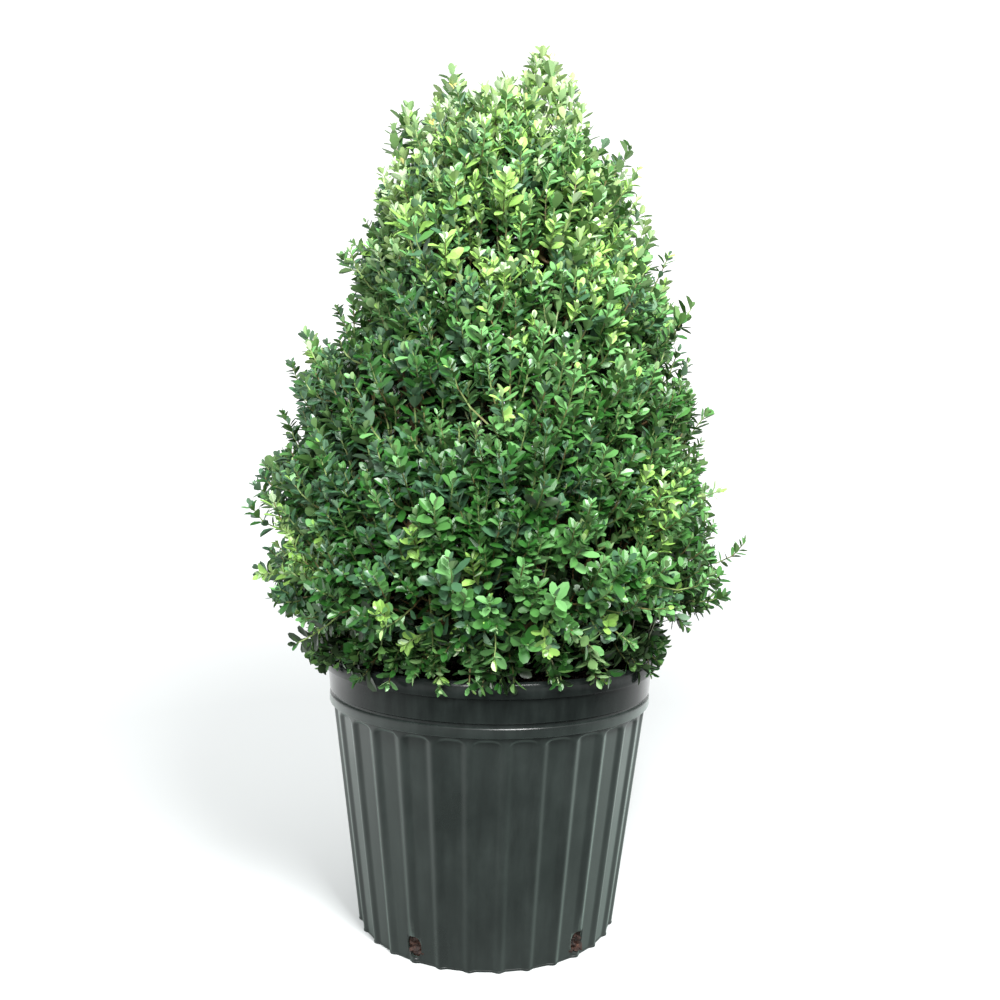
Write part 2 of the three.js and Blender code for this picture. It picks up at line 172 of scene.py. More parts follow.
def noise(tree: Tree, size_mm: float, detail: float = 3.0, stretch: float = 1.0,
          roughness: float = 0.55) -> Socket:
    """Adds noise on Object coordinates whose blotches are about a size across.

    Args:
        tree: The node tree.
        size_mm: Width of a blotch in millimetres.
        detail: Octaves of finer noise.
        stretch: How many times taller than wide a blotch is.
        roughness: Strength of the finer octaves.

    Returns:
        The noise's factor output.
    """
    place = add_node(tree, "ShaderNodeTexCoord").outputs["Object"]
    if stretch != 1.0:
        scale = (1.0, 1.0, 1.0 / stretch)
        node = add_node(tree, "ShaderNodeMapping", inputs={"Vector": place, "Scale": scale})
        place = node.outputs["Vector"]
    inputs = {"Vector": place, "Scale": 1 / (size_mm * MM), "Detail": detail, "Roughness": roughness}
    return add_node(tree, "ShaderNodeTexNoise", inputs=inputs).outputs["Fac"]


def bump(tree: Tree, shader: bpy.types.Node, height: Socket, depth_mm: float,
         normal: Socket | None = None) -> Socket:
    """Bumps a shader by a height that runs from 0 to 1.

    Args:
        tree: The node tree.
        shader: The shader whose Normal is bumped.
        height: The height's socket.
        depth_mm: How far apart the lowest and highest points stand.
        normal: A bumped normal to add to.

    Returns:
        The bumped normal.
    """
    inputs = {"Height": height, "Distance": depth_mm * MM}
    if normal is not None:
        inputs["Normal"] = normal
    node = add_node(tree, "ShaderNodeBump", inputs=inputs)
    tree.links.new(node.outputs["Normal"], shader.inputs["Normal"])
    return node.outputs["Normal"]


# ---- finishes ----------------------------------------------------------------------------


class Tint(Enum):
    """Leaf colours of upper face and underside: painted shade for leaves deep in the crown, then boxwood
    leaves from old to new, then the cool sort.
    """

    # SHADED is painted shade: a near-black green for the leaves deep inside the crown, where little light
    # reaches.
    SHADED = ("1A2E14", "2E4226")
    DEEP = ("24521D", "4A6E36")
    MID = ("416F36", "688A54")
    FRESH = ("5B8B51", "82A26E")
    LIME = ("7FA852", "9AB478")
    PALE = ("A2BC92", "B4C8A4")
    YELLOW = ("C0B45C", "C6C080")
    # BLUE is the cool sort: partly a leaf colour, partly painted bluish shade, dealt mostly to the left
    # side.
    BLUE = ("3A5D41", "607E62")


@dataclass(frozen=True)
class LeafCuticle:
    """The waxy skin of a boxwood leaf: leathery and glossy above, matt and paler below."""

    tint: Tint
    gloss: float = 0.35
    matt: float = 0.55
    wax: float = 0.48

    def materials(self) -> list[Material]:
        """Makes the materials of a leaf's two faces.

        Returns:
            The upper face's material, then the underside's.
        """
        made = []
        for side, colour, roughness in zip(("upper", "under"), self.tint.value, (self.gloss, self.matt)):
            material, _, shader = new_material(f"leaf_{self.tint.name.lower()}_{side}")
            shader.inputs["Base Color"].default_value = linear(colour)
            shader.inputs["Roughness"].default_value = roughness
            shader.inputs["IOR"].default_value = 1.45
            shader.inputs["Specular IOR Level"].default_value = self.wax
            made.append(material)
        return made


@dataclass(frozen=True)
class Mottled:
    """A finish whose colour follows blotches of one size, which may also stand in relief."""

    colours: tuple[str, ...]
    places: tuple[float, ...]
    blotch_mm: float
    roughness: float
    detail: float = 3.0
    stretch: float = 1.0
    fine: float = 0.55
    relief_mm: float = 0.0

    def material(self, name: str) -> Material:
        """Makes the material under a name: one noise picks its colour and bumps it.

        Args:
            name: The material's name.

        Returns:
            The material.
        """
        material, tree, shader = new_material(name)
        blotches = noise(tree, self.blotch_mm, self.detail, self.stretch, self.fine)
        colour = ramp(tree, blotches, list(zip(self.places, self.colours)))
        tree.links.new(colour, shader.inputs["Base Color"])
        shader.inputs["Roughness"].default_value = self.roughness
        if self.relief_mm:
            bump(tree, shader, blotches, self.relief_mm)
        return material


@dataclass(frozen=True)
class YoungWood(Mottled):
    """The thin smooth bark of boxwood twigs, tan with browner blotches."""

    colours: tuple[str, ...] = ("43341F", "6C5838", "8C7A50")
    places: tuple[float, ...] = (0.35, 0.52, 0.68)
    blotch_mm: float = 9.0
    roughness: float = 0.6


@dataclass(frozen=True)
class GreenShoot(Mottled):
    """This year's four-edged shoots, waxy and yellow-green, turning tan where they ripen."""

    colours: tuple[str, ...] = ("5E5232", "5F7040", "7C9058")
    places: tuple[float, ...] = (0.38, 0.5, 0.64)
    blotch_mm: float = 24.0
    roughness: float = 0.45


@dataclass(frozen=True)
class OldBark(Mottled):
    """The corky bark of the stem and boughs, greyish tan, with fine dark furrows up the limb."""

    colours: tuple[str, ...] = ("3A3024", "75654A", "A39472")
    places: tuple[float, ...] = (0.36, 0.5, 0.66)
    blotch_mm: float = 3.0
    roughness: float = 0.85
    detail: float = 6.0
    stretch: float = 5.0
    fine: float = 0.65
    relief_mm: float = 1.2


@dataclass(frozen=True)
class BarkMix(Mottled):
    """Composted pine bark, moist and dark: each chip-sized blotch has its own brown."""

    colours: tuple[str, ...] = ("0E0906", "22140E", "3B2217", "5E3D27")
    places: tuple[float, ...] = (0.3, 0.45, 0.6, 0.78)
    blotch_mm: float = 7.0
    roughness: float = 0.8
    detail: float = 5.0
    fine: float = 0.7
    relief_mm: float = 2.5


@dataclass(frozen=True)
class MouldedPolyethylene:
    """Injection-moulded black polyethylene: satin, faintly green-grey, with a film of dust.

    The mould's fine grain blurs its gloss, and dried water leaves pale runs down the wall. The
    collar above the dusty height is wiped clean: smoother, but with no sheen and less shine.
    """

    colour: str = "121615"
    dusty: str = "282E2C"
    dusty_places: Span = (0.14, 0.62)
    dust: str = "B8D4C8"
    dusty_below: Span = (0.242, 0.252)
    sheen: float = 0.22
    sheen_blur: float = 0.5
    shine: Span = (0.5, 0.18)
    film_mm: float = 70.0
    film_places: Span = (0.3, 0.7)
    gloss: Span = (0.26, 0.38)
    polish: float = 0.6
    run_mm: float = 11.0
    run_stretch: float = 7.0
    wave_mm: float = 42.0
    wave_depth_mm: float = 0.35
    grain_mm: float = 0.9
    grain_depth_mm: float = 0.03

    def material(self) -> Material:
        """Makes the material: dust and runs lighten the colour and roughen the gloss.

        Returns:
            The material.
        """
        material, tree, shader = new_material("moulded_polyethylene")
        runs = noise(tree, self.run_mm, detail=4.0, stretch=self.run_stretch, roughness=0.6)
        film = noise(tree, self.film_mm, detail=5.0, roughness=0.6)
        place = add_node(tree, "ShaderNodeTexCoord").outputs["Object"]
        height = add_node(tree, "ShaderNodeSeparateXYZ", inputs={"Vector": place}).outputs["Z"]
        shader.inputs["Sheen Roughness"].default_value = self.sheen_blur
        shader.inputs["Sheen Tint"].default_value = linear(self.dust)
        shader.inputs["IOR"].default_value = 1.5
        polish = span(tree, height, self.dusty_below, (1.0, self.polish))
        gloss = span(tree, film, self.film_places, self.gloss)
        stops = list(zip(self.dusty_places, (self.colour, self.dusty)))
        linked = {
            "Base Color": ramp(tree, arithmetic(tree, "MULTIPLY", runs, film), stops),
            "Sheen Weight": span(tree, height, self.dusty_below, (self.sheen, 0.0)),
            "Specular IOR Level": span(tree, height, self.dusty_below, self.shine),
            "Roughness": arithmetic(tree, "MULTIPLY", gloss, polish),
        }
        for name, socket in linked.items():
            tree.links.new(socket, shader.inputs[name])
        waves = noise(tree, self.wave_mm, detail=1.0, stretch=2.0)
        waved = bump(tree, shader, waves, self.wave_depth_mm)
        bump(tree, shader, noise(tree, self.grain_mm, detail=2.0), self.grain_depth_mm, waved)
        return material


@dataclass(frozen=True)
class PaintedFloor:
    """The studio's matt white floor, which throws little light back up in front of the plant.

    To all rays but the camera's it has painted shade in front of the plant, which is why it throws little
    light back up there. The camera sees it white, with painted shade near the plant that fades to a
    brighter white farther off.
    """

    # shaded: painted shade in front of the plant, seen by all rays but the camera's, so that the pot's
    # front reflects a dark floor.
    shaded: str = "525655"
    # near: painted shade near the plant, seen only by the camera; bright is the white farther off.
    near: str = "CACDCD"
    bright: str = "F2F4F4"
    shade_centre: Point = (0.28, -0.9, 0.0)
    shade_reach: Span = (0.70, 1.6)
    seen_shade_reach: Span = (1.0, 3.6)

    def fade(self, tree: Tree, centre: Point, reach: Span, colours: tuple[str, str]) -> Socket:
        """Adds a colour that passes from one tone to another over a span of distances from a centre.

        Args:
            tree: The node tree.
            centre: Where distances are measured from.
            reach: The distances of the first and the second tone.
            colours: The two tones as hex colours.

        Returns:
            The colour's output.
        """
        place = add_node(tree, "ShaderNodeTexCoord").outputs["Object"]
        away = add_node(tree, "ShaderNodeVectorMath", {"operation": "DISTANCE"}, {0: place, 1: centre})
        return ramp(tree, span(tree, away.outputs["Value"], reach), list(zip((0.0, 1.0), colours)))

    def material(self) -> Material:
        """Makes the material: to the camera white with painted shade near the plant, and to other rays
        painted shade in front of it.

        Returns:
            The material.
        """
        material, tree, shader = new_material("painted_floor")
        # Painted shade in front of the plant, for all rays but the camera's.
        lit = self.fade(tree, self.shade_centre, self.shade_reach, (self.shaded, self.bright))
        # Painted shade near the plant, fading to white farther off, for the camera.
        seen_shade = self.fade(tree, (0.0, 0.0, 0.0), self.seen_shade_reach, (self.near, self.bright))
        to_camera = add_node(tree, "ShaderNodeLightPath").outputs["Is Camera Ray"]
        colour = add_node(tree, "ShaderNodeMix", {"data_type": "RGBA"}, {0: to_camera, 6: lit, 7: seen_shade})
        tree.links.new(colour.outputs[2], shader.inputs["Base Color"])
        shader.inputs["Roughness"].default_value = 0.9
        shader.inputs["Specular IOR Level"].default_value = 0.1
        return material


# ---- arrays and meshes -------------------------------------------------------------------


def length(vectors: Array) -> Array:
    """Lengths along the last axis."""
    return np.linalg.norm(vectors, axis=-1)


def unit(vectors: Array) -> Array:
    """Scales vectors along the last axis to length one."""
    return vectors / np.maximum(length(vectors)[..., None], 1e-12)


def dot(a: Array, b: Array) -> Array:
    """Dot products along the last axis, which is kept with length one."""
    return np.sum(a * b, axis=-1, keepdims=True)


def around(bearing: Array | float, radius: Array | float, z: Array | float) -> Array:
    """Points at a bearing and radius round the Z axis: (r cos b, r sin b, z)."""
    return np.stack(np.broadcast_arrays(radius * np.cos(bearing), radius * np.sin(bearing), z), axis=-1)


def circle(count: int) -> Array:
    """Bearings of evenly spaced places round a whole turn."""
    return 2 * math.pi * np.arange(count) / count


def smooth(value: Array, low: float, high: float) -> Array:
    """Rises from 0 at low to 1 at high by 3 t^2 - 2 t^3, where t runs evenly between them."""
    t = np.clip((value - low) / (high - low), 0, 1)
    return t * t * (3 - 2 * t)


def quadratic(start: Array, control: Array, end: Array, t: Array) -> Array:
    """Points on quadratic curves: (1-t)^2 start + 2 t (1-t) control + t^2 end.

    Args:
        start: Start points, one a row.
        control: The points that pull each curve.
        end: End points.
        t: Places from 0 to 1, one row for each curve.

    Returns:
        An array of curve, place and coordinate.
    """
    t = t[..., None]
    return (1 - t) ** 2 * start[:, None] + 2 * t * (1 - t) * control[:, None] + t ** 2 * end[:, None]


def ripple(points: Array, wavelength: float, seed: int, waves: int = 9) -> Array:
    """A smooth random field of about -1 to 1: the mean of sines along random directions.

    Args:
        points: Places, with coordinates along the last axis.
        wavelength: Distance between crests, in metres.
        seed: Picks the directions and phases.
        waves: How many sines are summed.

    Returns:
        One value for each place.
    """
    rng = np.random.default_rng(seed)
    direction = unit(rng.normal(size=(waves, 3)))
    pitch = 2 * math.pi / (wavelength * rng.uniform(0.7, 1.4, waves))
    phase = rng.uniform(0, 2 * math.pi, waves)
    return np.sin(points @ (direction * pitch[:, None]).T + phase).mean(axis=-1) * 2.0


def add_object(name: str, data: bpy.types.ID) -> Piece:
    """Makes an object of a mesh, light or camera and links it to the scene.

    Args:
        name: The object's name.
        data: Its mesh, light or camera.

    Returns:
        The object.
    """
    made = bpy.data.objects.new(name, data)
    bpy.context.scene.collection.objects.link(made)
    return made


def mesh_object(name: str, verts: Array, faces: list[Array], materials: list[Material],
                slots: Array | None = None, sharp_deg: float = 40.0) -> Piece:
    """Makes a smooth-shaded mesh object at the origin from whole arrays.

    Args:
        name: The object's name.
        verts: Vertex places, one a row.
        faces: Groups of faces; each group is an array with one face a row.
        materials: The object's materials.
        slots: Material index of each face, in the order of the groups.
        sharp_deg: Edges that turn by more than this are shaded sharp.

    Returns:
        The object, linked to the scene.
    """
    mesh = bpy.data.meshes.new(name)
    corners = np.concatenate([group.ravel() for group in faces]).astype(np.int32)
    sizes = np.concatenate([np.full(len(group), group.shape[1]) for group in faces])
    starts = np.concatenate([[0], np.cumsum(sizes)[:-1]]).astype(np.int32)
    mesh.vertices.add(len(verts))
    mesh.vertices.foreach_set("co", np.ascontiguousarray(verts, np.float32).ravel())
    mesh.loops.add(len(corners))
    mesh.loops.foreach_set("vertex_index", corners)
    mesh.polygons.add(len(sizes))
    mesh.polygons.foreach_set("loop_start", starts)
    if slots is not None:
        mesh.polygons.foreach_set("material_index", slots.astype(np.int32))
    for material in materials:
        mesh.materials.append(material)
    mesh.update(calc_edges=True)
    mesh.shade_smooth()
    mesh.set_sharp_from_angle(angle=math.radians(sharp_deg))
    return add_object(name, mesh)


def tube_frames(paths: Array) -> tuple[Array, Array]:
    """Two directions across paths, by projecting one helper vector off each tangent.

    Args:
        paths: An array of path, step and coordinate.

    Returns:
        Normals and binormals, where the path's tangent = normal x binormal.
    """
    tangent = unit(np.gradient(paths, axis=1))
    chord = unit(paths[:, -1] - paths[:, 0])
    helper = np.where(np.abs(chord[:, 2:3]) < 0.85, [[0.0, 0.0, 1.0]], [[1.0, 0.0, 0.0]])
    across = unit(np.cross(chord, helper))[:, None]
    normal = unit(across - tangent * dot(tangent, across))
    return normal, np.cross(tangent, normal)


def between(index: Array) -> Array:
    """Quads between neighbouring rings, from vertex numbers with rings and corners last.

    Args:
        index: Vertex numbers, by ring and corner along the last two axes.

    Returns:
        The quads, one a row.
    """
    beside = np.roll(index, -1, axis=-1)
    corners = (index[..., :-1, :], beside[..., :-1, :], beside[..., 1:, :], index[..., 1:, :])
    return np.stack(corners, axis=-1).reshape(-1, 4)


def capped(rings: Array) -> Skin:
    """Closed solids, each a skin over a row of rings with a cap at both ends.

    Args:
        rings: An array of solid, ring, corner and coordinate.

    Returns:
        Vertices and the groups of faces: the sides as quads, then the two end caps.
    """
    index = np.arange(rings.size // 3).reshape(rings.shape[:3])
    return rings.reshape(-1, 3), [between(index), index[:, 0, ::-1].copy(), index[:, -1].copy()]


def tubes(paths: Array, radii: Array, sides: int, relief: Array | None = None) -> Skin:
    """Closed tapering tubes: centre + radius (cos a normal + sin a binormal) at every step.

    Args:
        paths: An array of path, step and coordinate.
        radii: Radius at each step of each path.
        sides: Corners of a ring.
        relief: Factors on the radius for path, step and corner.

    Returns:
        Vertices and the groups of faces: the sides as quads, then the two end caps.
    """
    normal, binormal = tube_frames(paths)
    turn = circle(sides)
    ring = normal[:, :, None] * np.cos(turn)[:, None] + binormal[:, :, None] * np.sin(turn)[:, None]
    reach = radii[:, :, None] * (1.0 if relief is None else relief)
    return capped(paths[:, :, None] + reach[..., None] * ring)


def revolve(radius: Array, height: Array, bearing: Array) -> Skin:
    """A closed surface of revolution from grids of radius and height over bearing and profile.

    Args:
        radius: Grid of profile step by bearing; the first and last rows close on the axis.
        height: Heights on the same grid.
        bearing: Bearings of the columns, in rising order round the whole turn.

    Returns:
        Vertices and one group of quads with two fans, facing outward for a rising profile.
    """
    rows, columns = radius.shape
    ring = around(bearing[None, :], radius[1:-1], height[1:-1]).reshape(-1, 3)
    poles = np.array([[0, 0, height[0, 0]], [0, 0, height[-1, 0]]])
    verts = np.concatenate([ring, poles])
    index = np.arange((rows - 2) * columns).reshape(rows - 2, columns)
    beside = np.roll(index, -1, axis=1)
    first, last = len(ring), len(ring) + 1
    foot = np.stack([beside[0], index[0], np.full(columns, first)], axis=-1)
    head = np.stack([index[-1], beside[-1], np.full(columns, last)], axis=-1)
    return verts, [between(index), foot, head]


def dress(piece: Piece, slot: str, *nodes: str) -> None:
    """Hangs a piece on the plant's one body and hides the CAD nodes that it stands for.

    Args:
        piece: The piece.
        slot: The name of its finish slot; not used.
        nodes: The CAD nodes that it stands for, if any.
    """
    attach(piece, BODY)
    if nodes:
        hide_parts(*nodes)
    LOG.info("%s: %d faces", piece.name, len(piece.data.polygons))


# ---- the pot -----------------------------------------------------------------------------


@dataclass
class Pot:
    """The round nursery pot: a fluted taper under a band, a groove, a collar and a rolled lip."""

    height: float = field(default_factory=lambda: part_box("pot")[1].z)
    rim: float = field(default_factory=lambda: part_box("pot")[1].x)
    foot: float = 0.137
    wall: float = 0.0022
    flutes: int = 30
    flute_depth: float = 0.0032
    flute_top: float = 0.236
    band: float = 0.171
    groove: float = 0.168
    collar: float = 0.1718
    per_flute: int = 24
    drain_count: int = 5
    drain_first: float = math.radians(-48)
    drain_size: Span = (0.0160, 0.0225)
    drain_height: float = 0.0165

    def wall_radius(self, z: Array | float) -> Array | float:
        """Radius of the fluted wall on a ridge: it widens evenly from the foot to the band."""
        return self.foot + (self.groove - 0.001 - self.foot) * np.asarray(z) / self.flute_top

    def profile(self) -> Array:
        """The half section from the middle of the underside, up the outside and down inside.

        Returns:
            Rows of radius, height and one on the fluted wall, else nought.
        """
        foot = [0.0, 0.0004, 0.0010, 0.0018, 0.0022, 0.0030]
        rise = np.concatenate([foot, np.linspace(0.008, 0.222, 12), np.linspace(0.2245, 0.2356, 14)])
        bead = 0.0006 * (rise < 0.002) - 0.0008 * (rise < 0.0002)
        wall = np.stack([self.wall_radius(rise) + bead, rise, np.ones(len(rise))], axis=1)
        top, rim = self.height, self.rim
        band, groove, collar, thick = self.band, self.groove, self.collar, self.wall
        bands = [
            (groove - 0.0006, 0.2362), (band - 0.0012, 0.2366), (band - 0.0004, 0.2371),
            (band, 0.2380), (band - 0.0002, 0.2452), (band - 0.0008, 0.2460),
            (groove + 0.0006, 0.2464), (groove, 0.2470), (groove, 0.2491),
            (groove + 0.0006, 0.2497), (collar - 0.0018, 0.2501), (collar - 0.0010, 0.2508),
            (collar - 0.0004, 0.2600), (collar + 0.0010, 0.2720), (collar + 0.0014, 0.2732),
            (rim - 0.0024, 0.2740), (rim - 0.0009, 0.2745), (rim - 0.0002, 0.2756), (rim, 0.2800),
            (rim, top - 0.0052), (rim - 0.0006, top - 0.0026), (rim - 0.0018, top - 0.0008),
            (rim - 0.0034, top), (rim - 0.0050, top - 0.0004), (rim - 0.0062, top - 0.0016),
            (rim - 0.0068, top - 0.0040), (rim - 0.0078, 0.2760), (collar - thick - 0.0006, 0.2700),
            (groove - thick - 0.0008, 0.2500), (groove - thick - 0.0012, 0.2400),
        ]
        inner = np.linspace(0.232, 0.0036, 7)
        lining = np.stack([self.wall_radius(inner) - self.flute_depth - self.wall, inner], axis=1)
        plain = np.concatenate([np.array(bands), lining, [[0.0, 0.0036]]])
        plain = np.concatenate([plain, np.zeros((len(plain), 1))], axis=1)
        under = [[0.0, 0.0, 0.0], [0.118, 0.0, 0.0], [0.1285, 0.0, 0.0]]
        return np.concatenate([under, wall, plain])

    def flute(self, bearing: Array, height: Array) -> Array:
        """Depth of the hollow panels: nought on the rounded ridges and above the panels' arched tops.

        With e the distance from the panel's middle (1 on a ridge), the hollow is the depth times
        0.78 smooth(1 - e) + 0.22 (1 - e^2), and it ends 7 mm lower at the ridges than at the middle.

        Args:
            bearing: Bearings round the pot.
            height: Heights up the wall.

        Returns:
            The depth in metres over both.
        """
        turn = (bearing + math.pi / 2) * self.flutes / (2 * math.pi)
        edge = np.abs(2 * (turn - np.round(turn)))
        scoop = 0.78 * smooth(1 - edge, 0.04, 0.5) + 0.22 * (1 - edge ** 2)
        top = self.flute_top - 0.0008 - 0.007 * edge ** 3
        return self.flute_depth * scoop * (1 - smooth(height, top - 0.0045, top))

    def shell(self) -> Piece:
        """Builds the fluted shell as one closed surface over bearing and profile.

        Returns:
            The shell, before its holes are cut.
        """
        bearing = circle(self.flutes * self.per_flute)
        radius, height, fluted = self.profile().T[:, :, None]
        radius = radius - fluted * self.flute(bearing[None, :], height)
        height = np.broadcast_to(height, radius.shape)
        verts, faces = revolve(radius, height, bearing)
        return mesh_object("pot_shell", verts, faces, [MouldedPolyethylene().material()], sharp_deg=34)

    def drain_bearings(self) -> Array:
        """Bearings of the drain holes."""
        return self.drain_first + circle(self.drain_count)

    def drain_cutters(self) -> Piece:
        """Builds the five oval plugs that the drain holes are cut with.

        Returns:
            The joined plugs.
        """
        turn, bearings = circle(28), self.drain_bearings()
        width, tall = self.drain_size
        outward = around(bearings, 1.0, 0.0)[:, None, None]
        sideways = around(bearings + math.pi / 2, 1.0, 0.0)[:, None, None]
        depth = (self.foot + 0.02 * np.array([-1, 1]))[None, :, None, None]
        oval = np.abs(np.cos(turn)) ** 0.8 * np.sign(np.cos(turn)) * width / 2
        rings = outward * depth + sideways * oval[:, None]
        rings = rings + UP * (self.drain_height + np.sin(turn)[:, None] * tall / 2)
        return mesh_object("drain_cutters", *capped(rings), [])

    def build(self) -> None:
        """Makes the shell, cuts the drain holes and hangs it in the frame."""
        shell = self.shell()
        cutters = self.drain_cutters()
        cut = shell.modifiers.new("drain_holes", "BOOLEAN")
        cut.operation = "DIFFERENCE"
        cut.solver = "MANIFOLD"
        cut.object = cutters
        settle(shell)
        bpy.data.objects.remove(cutters)
        dress(shell, "pot_plastic", "pot")


def settle(piece: Piece) -> None:
    """Applies a piece's modifiers to its mesh.

    Args:
        piece: The piece, which keeps its name and place.
    """
    bpy.context.view_layer.update()
    evaluated = piece.evaluated_get(bpy.context.evaluated_depsgraph_get())
    mesh = bpy.data.meshes.new_from_object(evaluated)
    piece.modifiers.clear()
    piece.data = mesh


@dataclass
class GrowingMedium:
    """The bark mix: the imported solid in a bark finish, with loose chips on it and in the holes."""

    level: float = field(default_factory=lambda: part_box("growing_medium")[1].z)
    radius: float = 0.157
    chips: int = 2600
    chip_mm: Span = (4.0, 13.0)
    chip_heights: Span = (-0.001, 0.006)
    chips_a_hole: int = 16
    drain_inset: Span = (0.001, 0.003)
    seed: int = 5

    def chip_bed(self) -> Piece:
        """Builds flat broken chips: squashed five-cornered prisms turned at random.

        Returns:
            The joined chips.
        """
        rng = np.random.default_rng(self.seed)
        count, sides = self.chips, 5
        reach = self.radius * np.sqrt(rng.uniform(0, 1, count))
        centre = around(rng.uniform(0, 2 * math.pi, count), reach, self.level)
        centre[:, 2] += rng.uniform(*self.chip_heights, count)
        centre = np.concatenate([centre, self.drain_chips(rng)])
        count = len(centre)
        size = rng.uniform(*self.chip_mm, (count, 1, 1)) * MM * np.array([0.5, 0.3, 0.12])
        turn = circle(sides) + rng.uniform(-0.4, 0.4, (count, sides))
        flat = np.stack([np.cos(turn), np.sin(turn)], axis=-1)
        ring = np.concatenate([flat, np.zeros((count, sides, 1))], axis=-1)
        low, high = ring - [0, 0, 1], ring * rng.uniform(0.6, 1.0, (count, 1, 1)) + [0, 0, 1]
        corners = np.concatenate([low, high], axis=1) * size
        spin = unit(rng.normal(size=(count, 3)) * [0.5, 0.5, 1.0])
        side = unit(np.cross(spin, unit(rng.normal(size=(count, 3)))))
        third = np.cross(spin, side)
        basis = np.stack([side, third, spin], axis=1)
        verts = np.einsum("nki,nij->nkj", corners, basis) + centre[:, None]
        rings = verts.reshape(count, 2, sides, 3)
        return mesh_object("bark_chips", *capped(rings), [BarkMix().material("bark_chip")])

    def drain_chips(self, rng: Random) -> Array:
        """Centres of the chips that show in the pot's drain holes.

        Args:
            rng: Scatters them.

        Returns:
            One place a row.
        """
        pot = Pot()
        bearing = np.repeat(pot.drain_bearings(), self.chips_a_hole)
        count = len(bearing)
        width, tall = pot.drain_size
        inside = pot.wall_radius(pot.drain_height) - pot.flute_depth
        aside = rng.uniform(-0.4, 0.4, count) * width / inside
        height = pot.drain_height + rng.uniform(-0.4, 0.4, count) * tall
        return around(bearing + aside, inside - rng.uniform(*self.drain_inset, count), height)

    def build(self) -> None:
        """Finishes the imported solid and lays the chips."""
        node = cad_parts["growing_medium"]
        material = BarkMix().material("bark_mix")
        for slot in node.material_slots:
            slot.material = material
        dress(self.chip_bed(), "bark_mix")


# ---- the crown's rule --------------------------------------------------------------------


@dataclass(frozen=True)
class Tuft:
    """A narrow tip that stands out of the rounded top of the crown, with its number of shoots."""

    x: float
    y: float
    top: float
    shoots: int
    width: float


@dataclass(frozen=True)
class Swell:
    """A place where the clipped form stands out of the cone of revolution, or falls short of it."""

    bearing_deg: float
    z: float
    out: float
    wide_deg: float
    tall: float


@dataclass(frozen=True)
class Flush:
    """A patch of new growth on the crown's surface: where it is, its reach and how fresh it is."""

    bearing_deg: float
    z: float
    reach: float
    gain: float


@dataclass(frozen=True)
class Sprig:
    """A lone shoot that the shears missed: where it leaves the crown, how far it stands out, its rise."""

    bearing_deg: float
    z: float
    out: float
    rise: float


